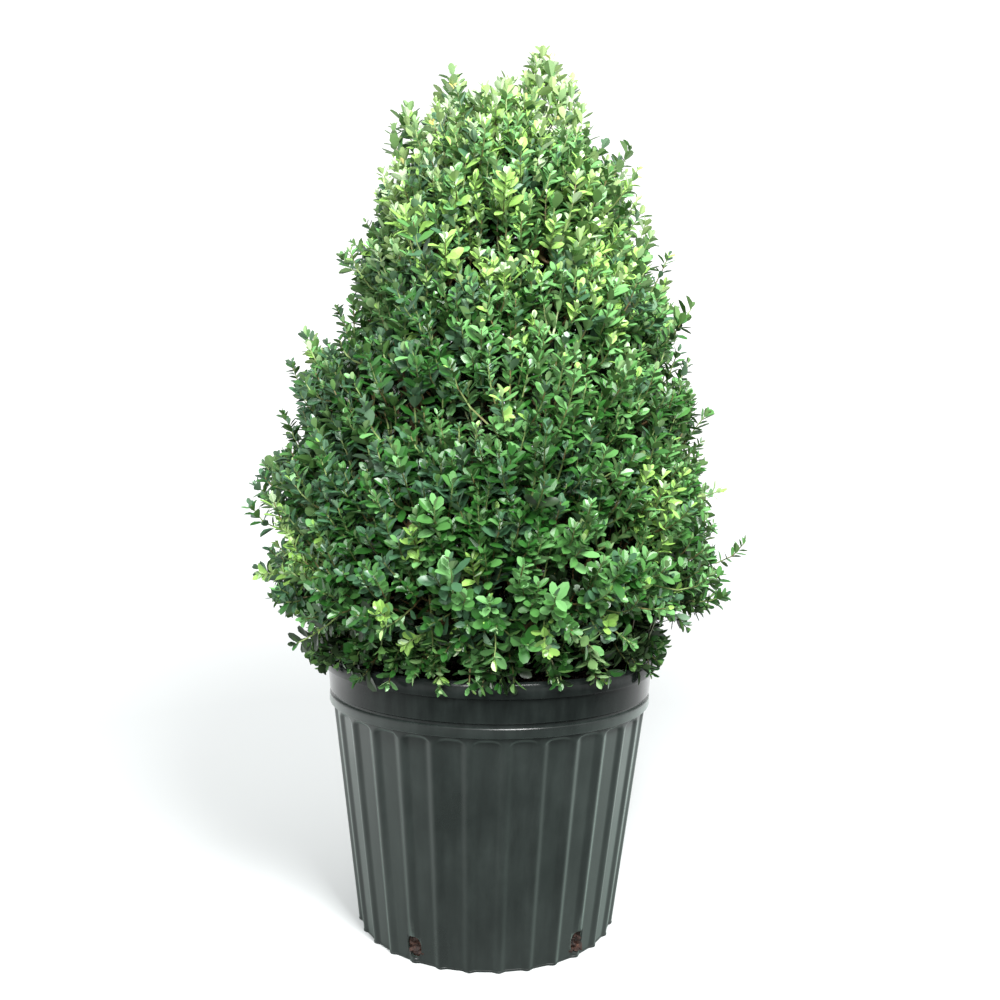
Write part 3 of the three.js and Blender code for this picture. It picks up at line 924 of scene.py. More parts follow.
@dataclass
class Crown:
    """The crown's outline: a rounded cone with uneven sides, swells, tufts and lone sprigs."""

    outline_mm: tuple[Span, ...] = (
        (186, 290), (222, 306), (244, 336), (251, 390), (248, 450), (241, 505), (225, 555), (206, 610),
        (188, 655), (167, 705), (148, 755), (130, 806), (104, 846), (76, 876), (44, 892), (8, 900),
    )
    tufts: tuple[Tuft, ...] = (
        Tuft(0.044, 0.0, 0.935, 20, 0.85), Tuft(0.075, -0.005, 0.902, 9, 0.6),
        Tuft(-0.050, -0.006, 0.908, 5, 0.3), Tuft(-0.097, 0.003, 0.873, 9, 0.8),
        Tuft(0.010, 0.004, 0.900, 8, 0.6),
    )
    swells: tuple[Swell, ...] = (
        Swell(218, 0.634, -0.022, 14, 0.014), Swell(233, 0.598, -0.022, 10, 0.022),
        Swell(245, 0.548, -0.018, 9, 0.024), Swell(262, 0.560, -0.020, 9, 0.018),
        Swell(283, 0.690, -0.016, 9, 0.016), Swell(270, 0.890, -0.010, 40, 0.016),
    )
    sides_mm: tuple[Point, ...] = (
        (300, -12, -72), (330, 9, -2), (365, -4, -1), (410, -17, 0), (455, -5, -8), (485, 12, -8),
        (520, -32, -24), (560, -8, 10), (603, 6, -20), (645, -46, 18), (690, -8, 12), (730, -10, -6),
        (770, 4, 14), (825, -22, 2), (858, -2, -36), (895, -18, -40),
    )
    side_bearings_deg: Span = (190, 350)
    sprigs: tuple[Sprig, ...] = (
        Sprig(184, 0.716, 0.020, 1.2), Sprig(181, 0.648, 0.040, 1.8), Sprig(193, 0.632, 0.026, 1.5),
        Sprig(186, 0.536, 0.030, 1.5), Sprig(178, 0.512, 0.026, 0.9), Sprig(190, 0.448, 0.020, 0.8),
        Sprig(183, 0.366, 0.018, 0.2), Sprig(2, 0.892, 0.024, 1.0), Sprig(-7, 0.842, 0.022, 1.6),
        Sprig(5, 0.800, 0.020, 0.9), Sprig(-3, 0.722, 0.027, 1.0), Sprig(6, 0.680, 0.018, 1.3),
        Sprig(-8, 0.512, 0.022, 1.3), Sprig(3, 0.490, 0.018, 0.9), Sprig(-5, 0.462, 0.022, 0.5),
        Sprig(-12, 0.366, 0.014, 0.0), Sprig(-2, 0.322, 0.026, -0.5), Sprig(-14, 0.312, 0.018, -0.7),
        Sprig(9, 0.330, 0.020, -0.3),
    )
    wide_ripple: Span = (0.12, 0.006)
    fine_ripple: Span = (0.048, 0.009)
    tuft_spread: float = 0.55
    tuft_drop: Span = (0.010, 0.055)
    place_jitter: float = 0.6
    ring_jitter: float = 0.35
    tuft_depth: float = 0.07
    skirt: float = 0.293

    def radius(self, z: Array) -> Array:
        """Reach from the axis at each height, nought above the top."""
        reach, height = np.array(self.outline_mm).T * MM
        return np.interp(z, height, reach, right=0.0)

    def inside(self, points: Array, skin: float) -> Array:
        """Tells which points lie at least a skin's depth inside the outline or in a tuft.

        Args:
            points: Places, with coordinates along the last axis.
            skin: The depth in metres; a negative one lets points stand out.

        Returns:
            True for each place that is inside.
        """
        within = np.hypot(points[..., 0], points[..., 1]) <= self.radius(points[..., 2]) - skin
        for tuft in self.tufts:
            under = tuft.top - points[..., 2]
            spread = under * self.tuft_spread - skin
            near = np.hypot(points[..., 0] - tuft.x, points[..., 1] - tuft.y) <= spread
            within |= (under >= 0) & (under < self.tuft_depth) & near
        return within

    def hollow(self, points: Array) -> Array:
        """How far the clipped surface lies under the outline, negative where it swells out.

        Smooth ripples, 12 cm and 5 cm wide, are added to the uneven left and right sides, which
        fade round the crown by the cube of the cosine, and to the swells, which fade as
        e^(-(b / wide)^2 - (h / tall)^2) with bearing b and height h.

        Args:
            points: Places, with coordinates along the last axis.

        Returns:
            One depth for each place.
        """
        bearing = np.degrees(np.arctan2(points[..., 1], points[..., 0]))
        (wide, deep), (fine, shallow) = self.wide_ripple, self.fine_ripple
        depth = deep * ripple(points, wide, seed=41) + shallow * ripple(points, fine, seed=42)
        height, *sides = np.array(self.sides_mm).T * MM
        for way, out in zip(self.side_bearings_deg, sides):
            turned = np.maximum(0, np.cos(np.radians(bearing - way))) ** 3
            depth -= turned * np.interp(points[..., 2], height, out)
        return depth + self.cleft(points)

    def cleft(self, points: Array) -> Array:
        """Depth of the clefts between the masses, by the swells alone.

        Args:
            points: Places, with coordinates along the last axis.

        Returns:
            One depth for each place.
        """
        bearing = np.degrees(np.arctan2(points[..., 1], points[..., 0]))
        depth = np.zeros(points.shape[:-1])
        for swell in self.swells:
            turn = (bearing - swell.bearing_deg + 180) % 360 - 180
            climb = (points[..., 2] - swell.z) / swell.tall
            depth -= swell.out * np.exp(-(turn / swell.wide_deg) ** 2 - climb ** 2)
        return depth

    def deal(self, spacing: float, rng: Random) -> tuple[Array, Array]:
        """Deals places evenly over the outline: rings along it, each a golden turn on.

        Args:
            spacing: Distance between neighbours, in metres.
            rng: Jitters the places along each ring.

        Returns:
            The places and the directions that face straight out there.
        """
        corners = np.array(self.outline_mm) * MM
        run = np.concatenate([[0], np.cumsum(length(np.diff(corners, axis=0)))])
        rings = round(run[-1] / spacing)
        along = (np.arange(rings) + 0.4) / rings * run[-1]
        radius, height = np.interp(along, run, corners[:, 0]), np.interp(along, run, corners[:, 1])
        slope = unit(np.stack([np.gradient(radius), np.gradient(height)], axis=1))
        counts = np.maximum(3, np.round(2 * math.pi * radius / spacing)).astype(int)
        ring = np.repeat(np.arange(rings), counts)
        step = np.arange(len(ring)) - np.repeat(np.cumsum(counts) - counts, counts)
        step = step + self.place_jitter * rng.uniform(size=len(ring))
        bearing = ring * GOLDEN_TURN + step * 2 * math.pi / counts[ring]
        lift = rng.uniform(-self.ring_jitter, self.ring_jitter, len(ring)) * spacing
        facing = around(bearing, slope[ring, 1], -slope[ring, 0])
        rise = around(bearing, slope[ring, 0], slope[ring, 1])
        return around(bearing, radius[ring], height[ring]) + rise * lift[:, None], facing


@dataclass
class Mass:
    """One mass of foliage: the space between flat walls that a bough's shoots keep to."""

    name: str
    heart: Array
    walls: Array
    bough_tip: Array
    bough_heading: Array

    def wall_distance(self, points: Array) -> Array:
        """How far each point lies inside the nearest wall, negative outside."""
        return (points @ self.walls[:, :3].T + self.walls[:, 3]).min(axis=-1)

    def reach(self, crown: Crown, directions: Array, skin: float, gap: float) -> Array:
        """How far rays run from the heart before they leave the mass, by halving.

        Args:
            crown: The crown whose outline bounds the mass.
            directions: One ray a row.
            skin: Depth kept under the outline.
            gap: Distance kept to the walls.

        Returns:
            One length for each ray.
        """
        inside, outside = np.zeros(len(directions)), np.full(len(directions), 0.7)
        for _ in range(14):
            middle = (inside + outside) / 2
            points = self.heart + directions * middle[:, None]
            held = crown.inside(points, skin) & (self.wall_distance(points) >= gap)
            held &= points[:, 2] >= crown.skirt + gap
            inside, outside = np.where(held, middle, inside), np.where(held, outside, middle)
        return inside


@dataclass(frozen=True)
class Lobe:
    """A lower mass: its bearing and how high it reaches up the outline."""

    name: str
    bearing_deg: float
    top: float


@dataclass(frozen=True)
class Upper:
    """An upper mass: its heart, and the tip and foot of the bough that feeds it."""

    name: str
    heart: Point
    bough: Point
    foot: Span


def wall(point: Array, normal: Array) -> Array:
    """A wall as its unit normal, which looks into the space, and minus its distance."""
    normal = unit(np.asarray(normal, float))
    return np.append(normal, -normal @ np.asarray(point, float))


@dataclass
class Framework:
    """Stem, boughs and the masses that they feed, laid out by the same rule as the solids."""

    crown: Crown
    soil: float = field(default_factory=lambda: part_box("growing_medium")[1].z)
    stem_height: float = 0.062
    stem_radius: Span = (0.014, 0.0115)
    stem_lean: float = 0.005
    flare: float = 0.013
    flare_height: float = 0.012
    roots: int = 5
    root_swell: float = 0.16
    furrow_width: float = 0.006
    furrow_depth: Span = (0.06, 0.08)
    bough_reach: float = 0.060
    bough_rise: float = 0.066
    bough_drop: Span = (0.009, 0.015)
    bough_stagger: float = 0.013
    leader_radius: Span = (0.008, 0.006)
    side_radius: Span = (0.0065, 0.0044)
    room_top: float = 0.470
    roof_slope: float = 2.0
    heart_radius: float = 0.158
    heart_height: float = 0.420
    parting: Span = (-0.022, math.radians(196))
    lobes: tuple[Lobe, ...] = (
        Lobe("front", -86, 0.600), Lobe("right", -14, 0.585), Lobe("back_right", 58, 0.640),
        Lobe("back_left", 130, 0.610), Lobe("left", 202, 0.655),
    )
    uppers: tuple[Upper, ...] = (
        Upper("leader", (0.034, -0.004, 0.640), (0.010, -0.003, 0.469), (0.001, 0.0)),
        Upper("shoulder", (-0.074, 0.014, 0.630), (-0.046, 0.010, 0.469), (-0.003, 0.001)),
    )

    def roof(self, lobe: Lobe) -> Array:
        """The slanting wall over a lobe, looking down into it.

        Args:
            lobe: The lower mass.

        Returns:
            The wall's normal and minus its distance.
        """
        bearing = math.radians(lobe.bearing_deg)
        edge = around(bearing, float(self.crown.radius(np.array(lobe.top))), lobe.top)
        return wall(edge, around(bearing, self.roof_slope, -1.0))

    def bough(self, start: Array, tip: Array) -> tuple[Array, Array]:
        """A bough's curve, drawn upward half way.

        Args:
            start: Where it leaves the stem.
            tip: Where it enters its mass.

        Returns:
            Its 3 control points, and its heading at the tip.
        """
        run = length(tip - start)
        heading = unit((tip - start) * [0.9, 0.9, 0.0] + UP * run * 0.8)
        control = start + heading * run * 0.5
        return np.stack([start, control, tip]), unit(tip - control)

    def plan(self) -> tuple[list[Mass], dict[str, Array]]:
        """Lays out every mass with its bough.

        Returns:
            The masses, and the control points of each bough by name.
        """
        top = self.soil + self.stem_height
        masses, boughs = [], {}
        for side, upper in zip((-1, 1), self.uppers):
            start = np.array([self.stem_lean + upper.foot[0], upper.foot[1], top - self.bough_drop[0]])
            tip = np.array(upper.bough)
            boughs[upper.name], heading = self.bough(start, tip)
            walls = [-self.roof(lobe) for lobe in self.lobes]
            walls.append(wall((0, 0, self.room_top), UP))
            walls.append(wall((self.parting[0], 0, 0), around(self.parting[1], float(side), 0.0)))
            masses.append(Mass(upper.name, np.array(upper.heart), np.array(walls), tip, heading))
        for index, lobe in enumerate(self.lobes):
            bearing, half = math.radians(lobe.bearing_deg), math.pi / len(self.lobes)
            drop = self.bough_drop[1] + (index % 3) * self.bough_stagger
            start = np.array([self.stem_lean * 0.6, 0, top - drop])
            tip = around(bearing, self.bough_reach, top + self.bough_rise - drop)
            boughs[lobe.name], heading = self.bough(start, tip)
            sides = [wall((0, 0, 0), around(bearing + turn, 1.0, 0.0))
                     for turn in (math.pi / 2 - half, half - math.pi / 2)]
            room = wall(around(bearing, self.bough_reach, 0.0), around(bearing, 1.0, 0.0))
            heart = around(bearing, self.heart_radius, self.heart_height)
            masses.append(Mass(lobe.name, heart, np.array([*sides, room, self.roof(lobe)]), tip, heading))
        return masses, boughs

    def stem(self) -> Piece:
        """Builds the stem: a leaning taper with a root flare and furrowed bark.

        Radius is the taper plus flare e^(-h / flare height), swollen over five roots.

        Returns:
            The stem in its bark.
        """
        bearing = circle(72)
        height = np.concatenate([[0], np.linspace(0, 1, 40) ** 1.4, [1]]) * self.stem_height
        taper = np.interp(height, [0, self.stem_height], self.stem_radius)
        near = np.exp(-height / self.flare_height)
        swell = 1 + self.root_swell * near[:, None] * np.cos(self.roots * bearing)
        radius = (taper + self.flare * near)[:, None] * swell
        places = around(bearing[None, :], radius, height[:, None])
        furrow = np.abs(ripple(places * [1, 1, 0.25], self.furrow_width, seed=3))
        radius = radius * (1 - self.furrow_depth[0] * (1 - furrow))
        level = height[:, None] + self.soil + 0.0003
        verts, faces = revolve(radius, np.broadcast_to(level, radius.shape), bearing)
        verts[:, 0] += self.stem_lean * (verts[:, 2] - self.soil) / self.stem_height
        return mesh_object("stem_bark", verts, faces, [OldBark().material("old_bark")])

    def build(self, boughs: dict[str, Array]) -> None:
        """Makes the stem and the boughs, each in its own bark.

        Args:
            boughs: Control points of each bough by name.
        """
        dress(self.stem(), "bark", "main_stem")
        bark = bpy.data.materials["old_bark"]
        leaders = {upper.name for upper in self.uppers}
        for seed, (name, (start, control, end)) in enumerate(boughs.items()):
            t = np.linspace(0, 1, 46)[None]
            path = quadratic(start[None], control[None], end[None], t)
            ends = self.leader_radius if name in leaders else self.side_radius
            radii = np.interp(t, [0, 1], ends)
            places = around(circle(28), 0.006, t[..., None] * 0.03)
            furrow = np.abs(ripple(places, self.furrow_width, seed=11 + seed))
            relief = 1 - self.furrow_depth[1] * (1 - furrow)
            verts, faces = tubes(path, radii, relief.shape[-1], relief)
            dress(mesh_object(f"bough_bark_{name}", verts, faces, [bark]), "bark", f"bough_{name}")


# ---- foliage -----------------------------------------------------------------------------


@dataclass
class Twigs:
    """Curved shoots of one generation, as the three control points of each, with its radii."""

    start: Array
    control: Array
    end: Array
    foot_radius: float
    tip_radius: float
    mass: Array

    def points(self, t: Array) -> Array:
        """Points at places t, one row for each twig."""
        return quadratic(self.start, self.control, self.end, t)

    def headings(self, t: Array) -> Array:
        """Unit tangents: 2 (1-t) (control - start) + 2 t (end - control), made unit.

        Args:
            t: Places from 0 to 1, one row for each twig.

        Returns:
            An array of twig, place and coordinate.
        """
        t = t[..., None]
        first, second = (self.control - self.start)[:, None], (self.end - self.control)[:, None]
        return unit((1 - t) * first + t * second)

    def length(self) -> Array:
        """About how long each twig is: the mean of its chord and its control legs."""
        legs = length(self.control - self.start) + length(self.end - self.control)
        return (length(self.end - self.start) + legs) / 2

    def skin(self, chosen: Array, steps: int, sides: int) -> Skin:
        """Tapering tubes of the chosen twigs.

        Args:
            chosen: True for each twig that is built.
            steps: Steps along each tube.
            sides: Corners of a ring.

        Returns:
            Vertices and the groups of faces.
        """
        t = np.tile(np.linspace(0, 1, steps + 1), (int(chosen.sum()), 1))
        part = Twigs(self.start[chosen], self.control[chosen], self.end[chosen], 0, 0, self.mass[chosen])
        return tubes(part.points(t), self.foot_radius + (self.tip_radius - self.foot_radius) * t, sides)


@dataclass
class LeafShape:
    """A boxwood leaf as a thin lens: eight corners round it and one on the midrib of each face."""

    length: float = 0.0128
    width: float = 0.0071
    thickness: float = 0.0004
    along: tuple[float, ...] = (0.0, 0.20, 0.56, 0.87, 1.0, 0.87, 0.56, 0.20, 0.50, 0.50)
    across: tuple[float, ...] = (0.0, 0.56, 1.0, 0.66, 0.0, -0.66, -1.0, -0.56, 0.0, 0.0)
    below: tuple[float, ...] = (0, 0, 0, 0, 0, 0, 0, 0, 0, 1)

    def faces(self, count: int) -> tuple[Array, Array]:
        """Faces and their material index for a number of leaves laid end to end.

        Args:
            count: How many leaves there are.

        Returns:
            The faces, one a row, and the material index of each.
        """
        rim = np.arange(8)
        upper = np.stack([rim, np.full(8, 8), np.roll(rim, -1)], axis=1)
        under = np.stack([rim, np.roll(rim, -1), np.full(8, 9)], axis=1)
        one = np.concatenate([upper, under])
        step = len(self.along) * np.arange(count)[:, None, None]
        slots = np.tile(np.repeat([0, 1], len(upper)), count)
        return (one[None] + step).reshape(-1, 3), slots

    def place(self, leaves: "Leaves") -> Array:
        """Corners of every leaf.

        Along the leaf u, across it v and over it w = cup |v| width - curl u^2 length, less the
        thickness on the underside's midrib, in the leaf's own frame of heading, side and face.

        Args:
            leaves: The leaves.

        Returns:
            An array of leaf, corner and coordinate.
        """
        u, v, below = (np.array(a)[None, :] for a in (self.along, self.across, self.below))
        long = leaves.size[:, None] * self.length
        wide = leaves.size[:, None] * leaves.broad[:, None] * self.width / 2
        cupped = leaves.cup[:, None] * np.abs(v) * wide
        w = cupped - leaves.curl[:, None] * u ** 2 * long - below * self.thickness
        side = np.cross(leaves.face, leaves.heading)
        return (leaves.root[:, None] + leaves.heading[:, None] * (u * long)[..., None]
                + side[:, None] * (v * wide)[..., None] + leaves.face[:, None] * w[..., None])


@dataclass
class Leaves:
    """Many leaves as arrays: where each grows, how it points and how it is formed."""

    root: Array
    heading: Array
    face: Array
    size: Array
    broad: Array
    cup: Array
    curl: Array
    mass: Array
    tint: Array

    def pick(self, chosen: Array) -> "Leaves":
        """The chosen leaves."""
        return Leaves(*(getattr(self, name)[chosen] for name in self.__dataclass_fields__))


@dataclass(frozen=True)
class Layer:
    """One layer of leafy shoots: how far apart and how deep they end, and how they bear leaves.

    Pairs of leaves stand a gap apart. Fresh is added to their freshness; in the deeper layers it is below
    nought, which darkens their leaves as painted shade. Gappy scales the share of missing shoots, and
    sprigs is the share that the shears missed.
    """

    spacing: float
    depth: float
    spread: float
    pairs: int
    gap: float
    fresh: float
    gappy: float = 1.0
    sprigs: float = 0.0


@dataclass(frozen=True)
class Gaps:
    """How many shoots are missing: more in patches, in the lower crown and in the clefts."""

    patchy: float = 0.40
    low_patchy: float = 0.40
    low_fade: Span = (0.52, 0.74)
    patch_width: float = 0.055
    patch_edge: Span = (0.05, 0.60)
    skirt: float = 0.50
    skirt_fade: Span = (0.33, 0.43)
    by_cleft: float = 30.0

    def share(self, tips: Array, crown: Crown) -> Array:
        """Share of the shoots that are missing round each tip.

        Args:
            tips: Where the shoots would end.
            crown: The crown with its clefts.

        Returns:
            One share for each tip.
        """
        share = self.patchy + self.low_patchy * (1 - smooth(tips[:, 2], *self.low_fade))
        share *= smooth(ripple(tips, self.patch_width, seed=71), *self.patch_edge)
        share += self.skirt * (1 - smooth(tips[:, 2], *self.skirt_fade)) + self.by_cleft * crown.cleft(tips)
        return share


@dataclass(frozen=True)
class Skirt:
    """Low shoots that spread over the pot's lip and droop beyond it."""

    shoots: int = 520
    reach: Span = (0.162, 0.189)
    lip: Span = (0.178, 0.185)
    level: float = 0.302
    scatter: float = 0.012
    drop: float = 0.018
    droop: float = 0.9
    patch_width: float = 0.05
    patch_edge: float = -0.40
    gaps_deg: tuple[float, ...] = (283, 312)
    gap_half_deg: float = 4.5

    def tips(self, rng: Random) -> tuple[Array, Array]:
        """Tips of the shoots that are there, with the directions they face.

        Args:
            rng: Scatters them.

        Returns:
            Two arrays with one shoot a row.
        """
        bearing = np.arange(self.shoots) * GOLDEN_TURN
        reach = rng.uniform(*self.reach, self.shoots)
        over = smooth(reach, *self.lip)
        height = self.level - self.drop * over + rng.uniform(0, self.scatter, self.shoots)
        tips = around(bearing, reach, height)
        grown = ripple(tips * [1, 1, 0], self.patch_width, seed=82) > self.patch_edge
        for middle in self.gaps_deg:
            grown &= np.cos(bearing - math.radians(middle)) < math.cos(math.radians(self.gap_half_deg))
        return tips[grown], around(bearing, 1.0, -self.droop * over)[grown]


@dataclass(frozen=True)
class Habit:
    """How leaves sit on a shoot. A spread is a standard deviation; sizes are shares of a full leaf."""

    vigour_spread: float = 0.16
    vigour_patches: Span = (0.15, 0.06)
    vigour_limits: Span = (-0.36, 0.27)
    turn_spread: float = 0.18
    growing_pairs: Span = (-0.8, 2.4)
    tilt_deg: Span = (20, 36)
    tilt_spread: float = 0.16
    heading_spread: float = 0.08
    heading_lift: float = 0.10
    face_spread: float = 0.16
    face_lift: float = 0.12
    young_size: float = 0.50
    grown_size: float = 0.54
    low_size: float = 0.10
    low_fade: Span = (0.300, 0.345)
    size_limits: Span = (0.74, 1.30)
    bare_foot: float = 0.05
    stalk: float = 0.0004
    broad_limits: Span = (0.88, 1.12)
    cup: Span = (0.26, 0.18)
    curl: Span = (0.08, 0.09)

    def vigour(self, tips: Array, rng: Random) -> Array:
        """How large each shoot's leaves are: e^v, where v varies by shoot and in patches.

        Args:
            tips: Where the shoots end.
            rng: Varies the shoots.

        Returns:
            A column with one factor for each shoot.
        """
        patch, strong = self.vigour_patches
        v = rng.normal(0, self.vigour_spread, (len(tips), 1))
        v = v + strong * ripple(tips, patch, seed=31)[:, None]
        return np.exp(np.clip(v, *self.vigour_limits))

    def stand(self, ahead: Array, grown: Array, rng: Random) -> tuple[Array, Array]:
        """Stands the leaves: each pair a quarter turn on, tilted off its shoot and up a little.

        Args:
            ahead: The shoot's heading at every pair.
            grown: How far each pair has grown, which tilts it more.
            rng: Varies the leaves.

        Returns:
            Headings and faces by shoot, pair, leaf and coordinate.
        """
        count, pairs = ahead.shape[:2]
        across = unit(np.cross(ahead, unit(rng.normal(size=(count, 1, 3)))))
        turn = rng.uniform(0, 2 * math.pi, (count, 1)) + np.arange(pairs) * math.pi / 2
        turn = turn + rng.normal(0, self.turn_spread, (count, pairs))
        side = across * np.cos(turn)[..., None] + np.cross(ahead, across) * np.sin(turn)[..., None]
        side = np.stack([side, -side], axis=2)
        ahead = np.repeat(ahead[:, :, None], 2, axis=2)
        young_tilt, more_tilt = self.tilt_deg
        tilt = rng.normal(0, self.tilt_spread, (count, pairs, 2))
        tilt = (np.radians(young_tilt + more_tilt * grown) + tilt)[..., None]
        heading = ahead * np.cos(tilt) + side * np.sin(tilt)
        heading = heading + rng.normal(0, self.heading_spread, heading.shape)
        heading = unit(heading + UP * self.heading_lift)
        face = ahead - heading * dot(ahead, heading) + rng.normal(0, self.face_spread, heading.shape)
        face = unit(face + UP * self.face_lift)
        return heading, unit(face - heading * dot(face, heading))


@dataclass(frozen=True)
class Ageing:
    """How fresh leaves are, from about 0 (old, dark) to 1 (new, pale), over the crown's height.

    Patches are given by width and strength, and a fade by the heights that it runs between. The rise
    towards the top is partly new growth and partly painted light from above, and the fall towards the skirt
    is painted shade under the overhang.
    """

    base: float = 0.33
    wide_patches: Span = (0.16, 0.09)
    fine_patches: Span = (0.06, 0.08)
    # Painted light and shade over the height: the top is lighter, partly as new growth and partly as
    # painted light from above; towards the skirt the leaves are darker as painted shade under the overhang,
    # with a wider spread and a lower limit there, and the palest tints are kept to the top.
    top_light_gain: float = 0.36
    top_fade: Span = (0.54, 0.82)
    low_shade_loss: float = 0.32
    low_fade: Span = (0.31, 0.38)
    spread: float = 0.13
    spread_low: Span = (1.9, 0.9)
    spread_fade: Span = (0.31, 0.40)
    oldest: float = 0.17
    oldest_fade: Span = (0.31, 0.37)
    newest: Span = (0.74, 0.24)
    newest_fade: Span = (0.60, 0.90)
    # Painted shade of the deeper layers: it fades by this share towards the top, where more light gets in.
    deep_shade_share: float = 0.7
    deep_shade_fade: Span = (0.58, 0.80)
    young_gain: float = 0.14
    leaf_spread: float = 0.06
    flushes: tuple[Flush, ...] = (
        Flush(208, 0.395, 0.050, 0.56), Flush(247, 0.318, 0.045, 0.50), Flush(262, 0.665, 0.050, 0.22),
        Flush(303, 0.690, 0.075, 0.16), Flush(318, 0.455, 0.060, 0.34), Flush(295, 0.335, 0.070, 0.38),
        Flush(282, 0.352, 0.040, 0.30), Flush(270, 0.622, 0.035, 0.15),
    )

    def of_shoots(self, points: Array, crown: Crown, rng: Random) -> Array:
        """Freshness of the shoots that end at some points.

        Patches of new growth wander over the crown, and each flush adds its gain times e^(-(distance /
        reach)^2). Leaves are lighter towards the top, partly as new growth and partly as painted light, and
        darker towards the skirt as painted shade.

        Args:
            points: The shoots' tips.
            crown: The crown that the flushes lie on.
            rng: Varies the shoots.

        Returns:
            One value for each shoot, kept between the oldest and the newest at its height.
        """
        height = points[:, 2]
        (wide, strong), (fine, faint) = self.wide_patches, self.fine_patches
        fresh = self.base + ripple(points, wide, seed=51) * strong + ripple(points, fine, seed=52) * faint
        # Painted light and shade: lighter towards the top, partly as new growth; darker towards the skirt
        # as painted shade.
        low = 1 - smooth(height, *self.low_fade)
        fresh += self.top_light_gain * smooth(height, *self.top_fade) - self.low_shade_loss * low
        most, less = self.spread_low
        fresh += rng.normal(0, self.spread, len(points)) * (most - less * smooth(height, *self.spread_fade))
        for flush in self.flushes:
            level = np.array(flush.z)
            middle = around(math.radians(flush.bearing_deg), crown.radius(level), level)
            fresh += flush.gain * np.exp(-(length(points - middle) / flush.reach) ** 2)
        newest = self.newest[0] + self.newest[1] * smooth(height, *self.newest_fade)
        return np.clip(fresh, self.oldest * smooth(height, *self.oldest_fade), newest)


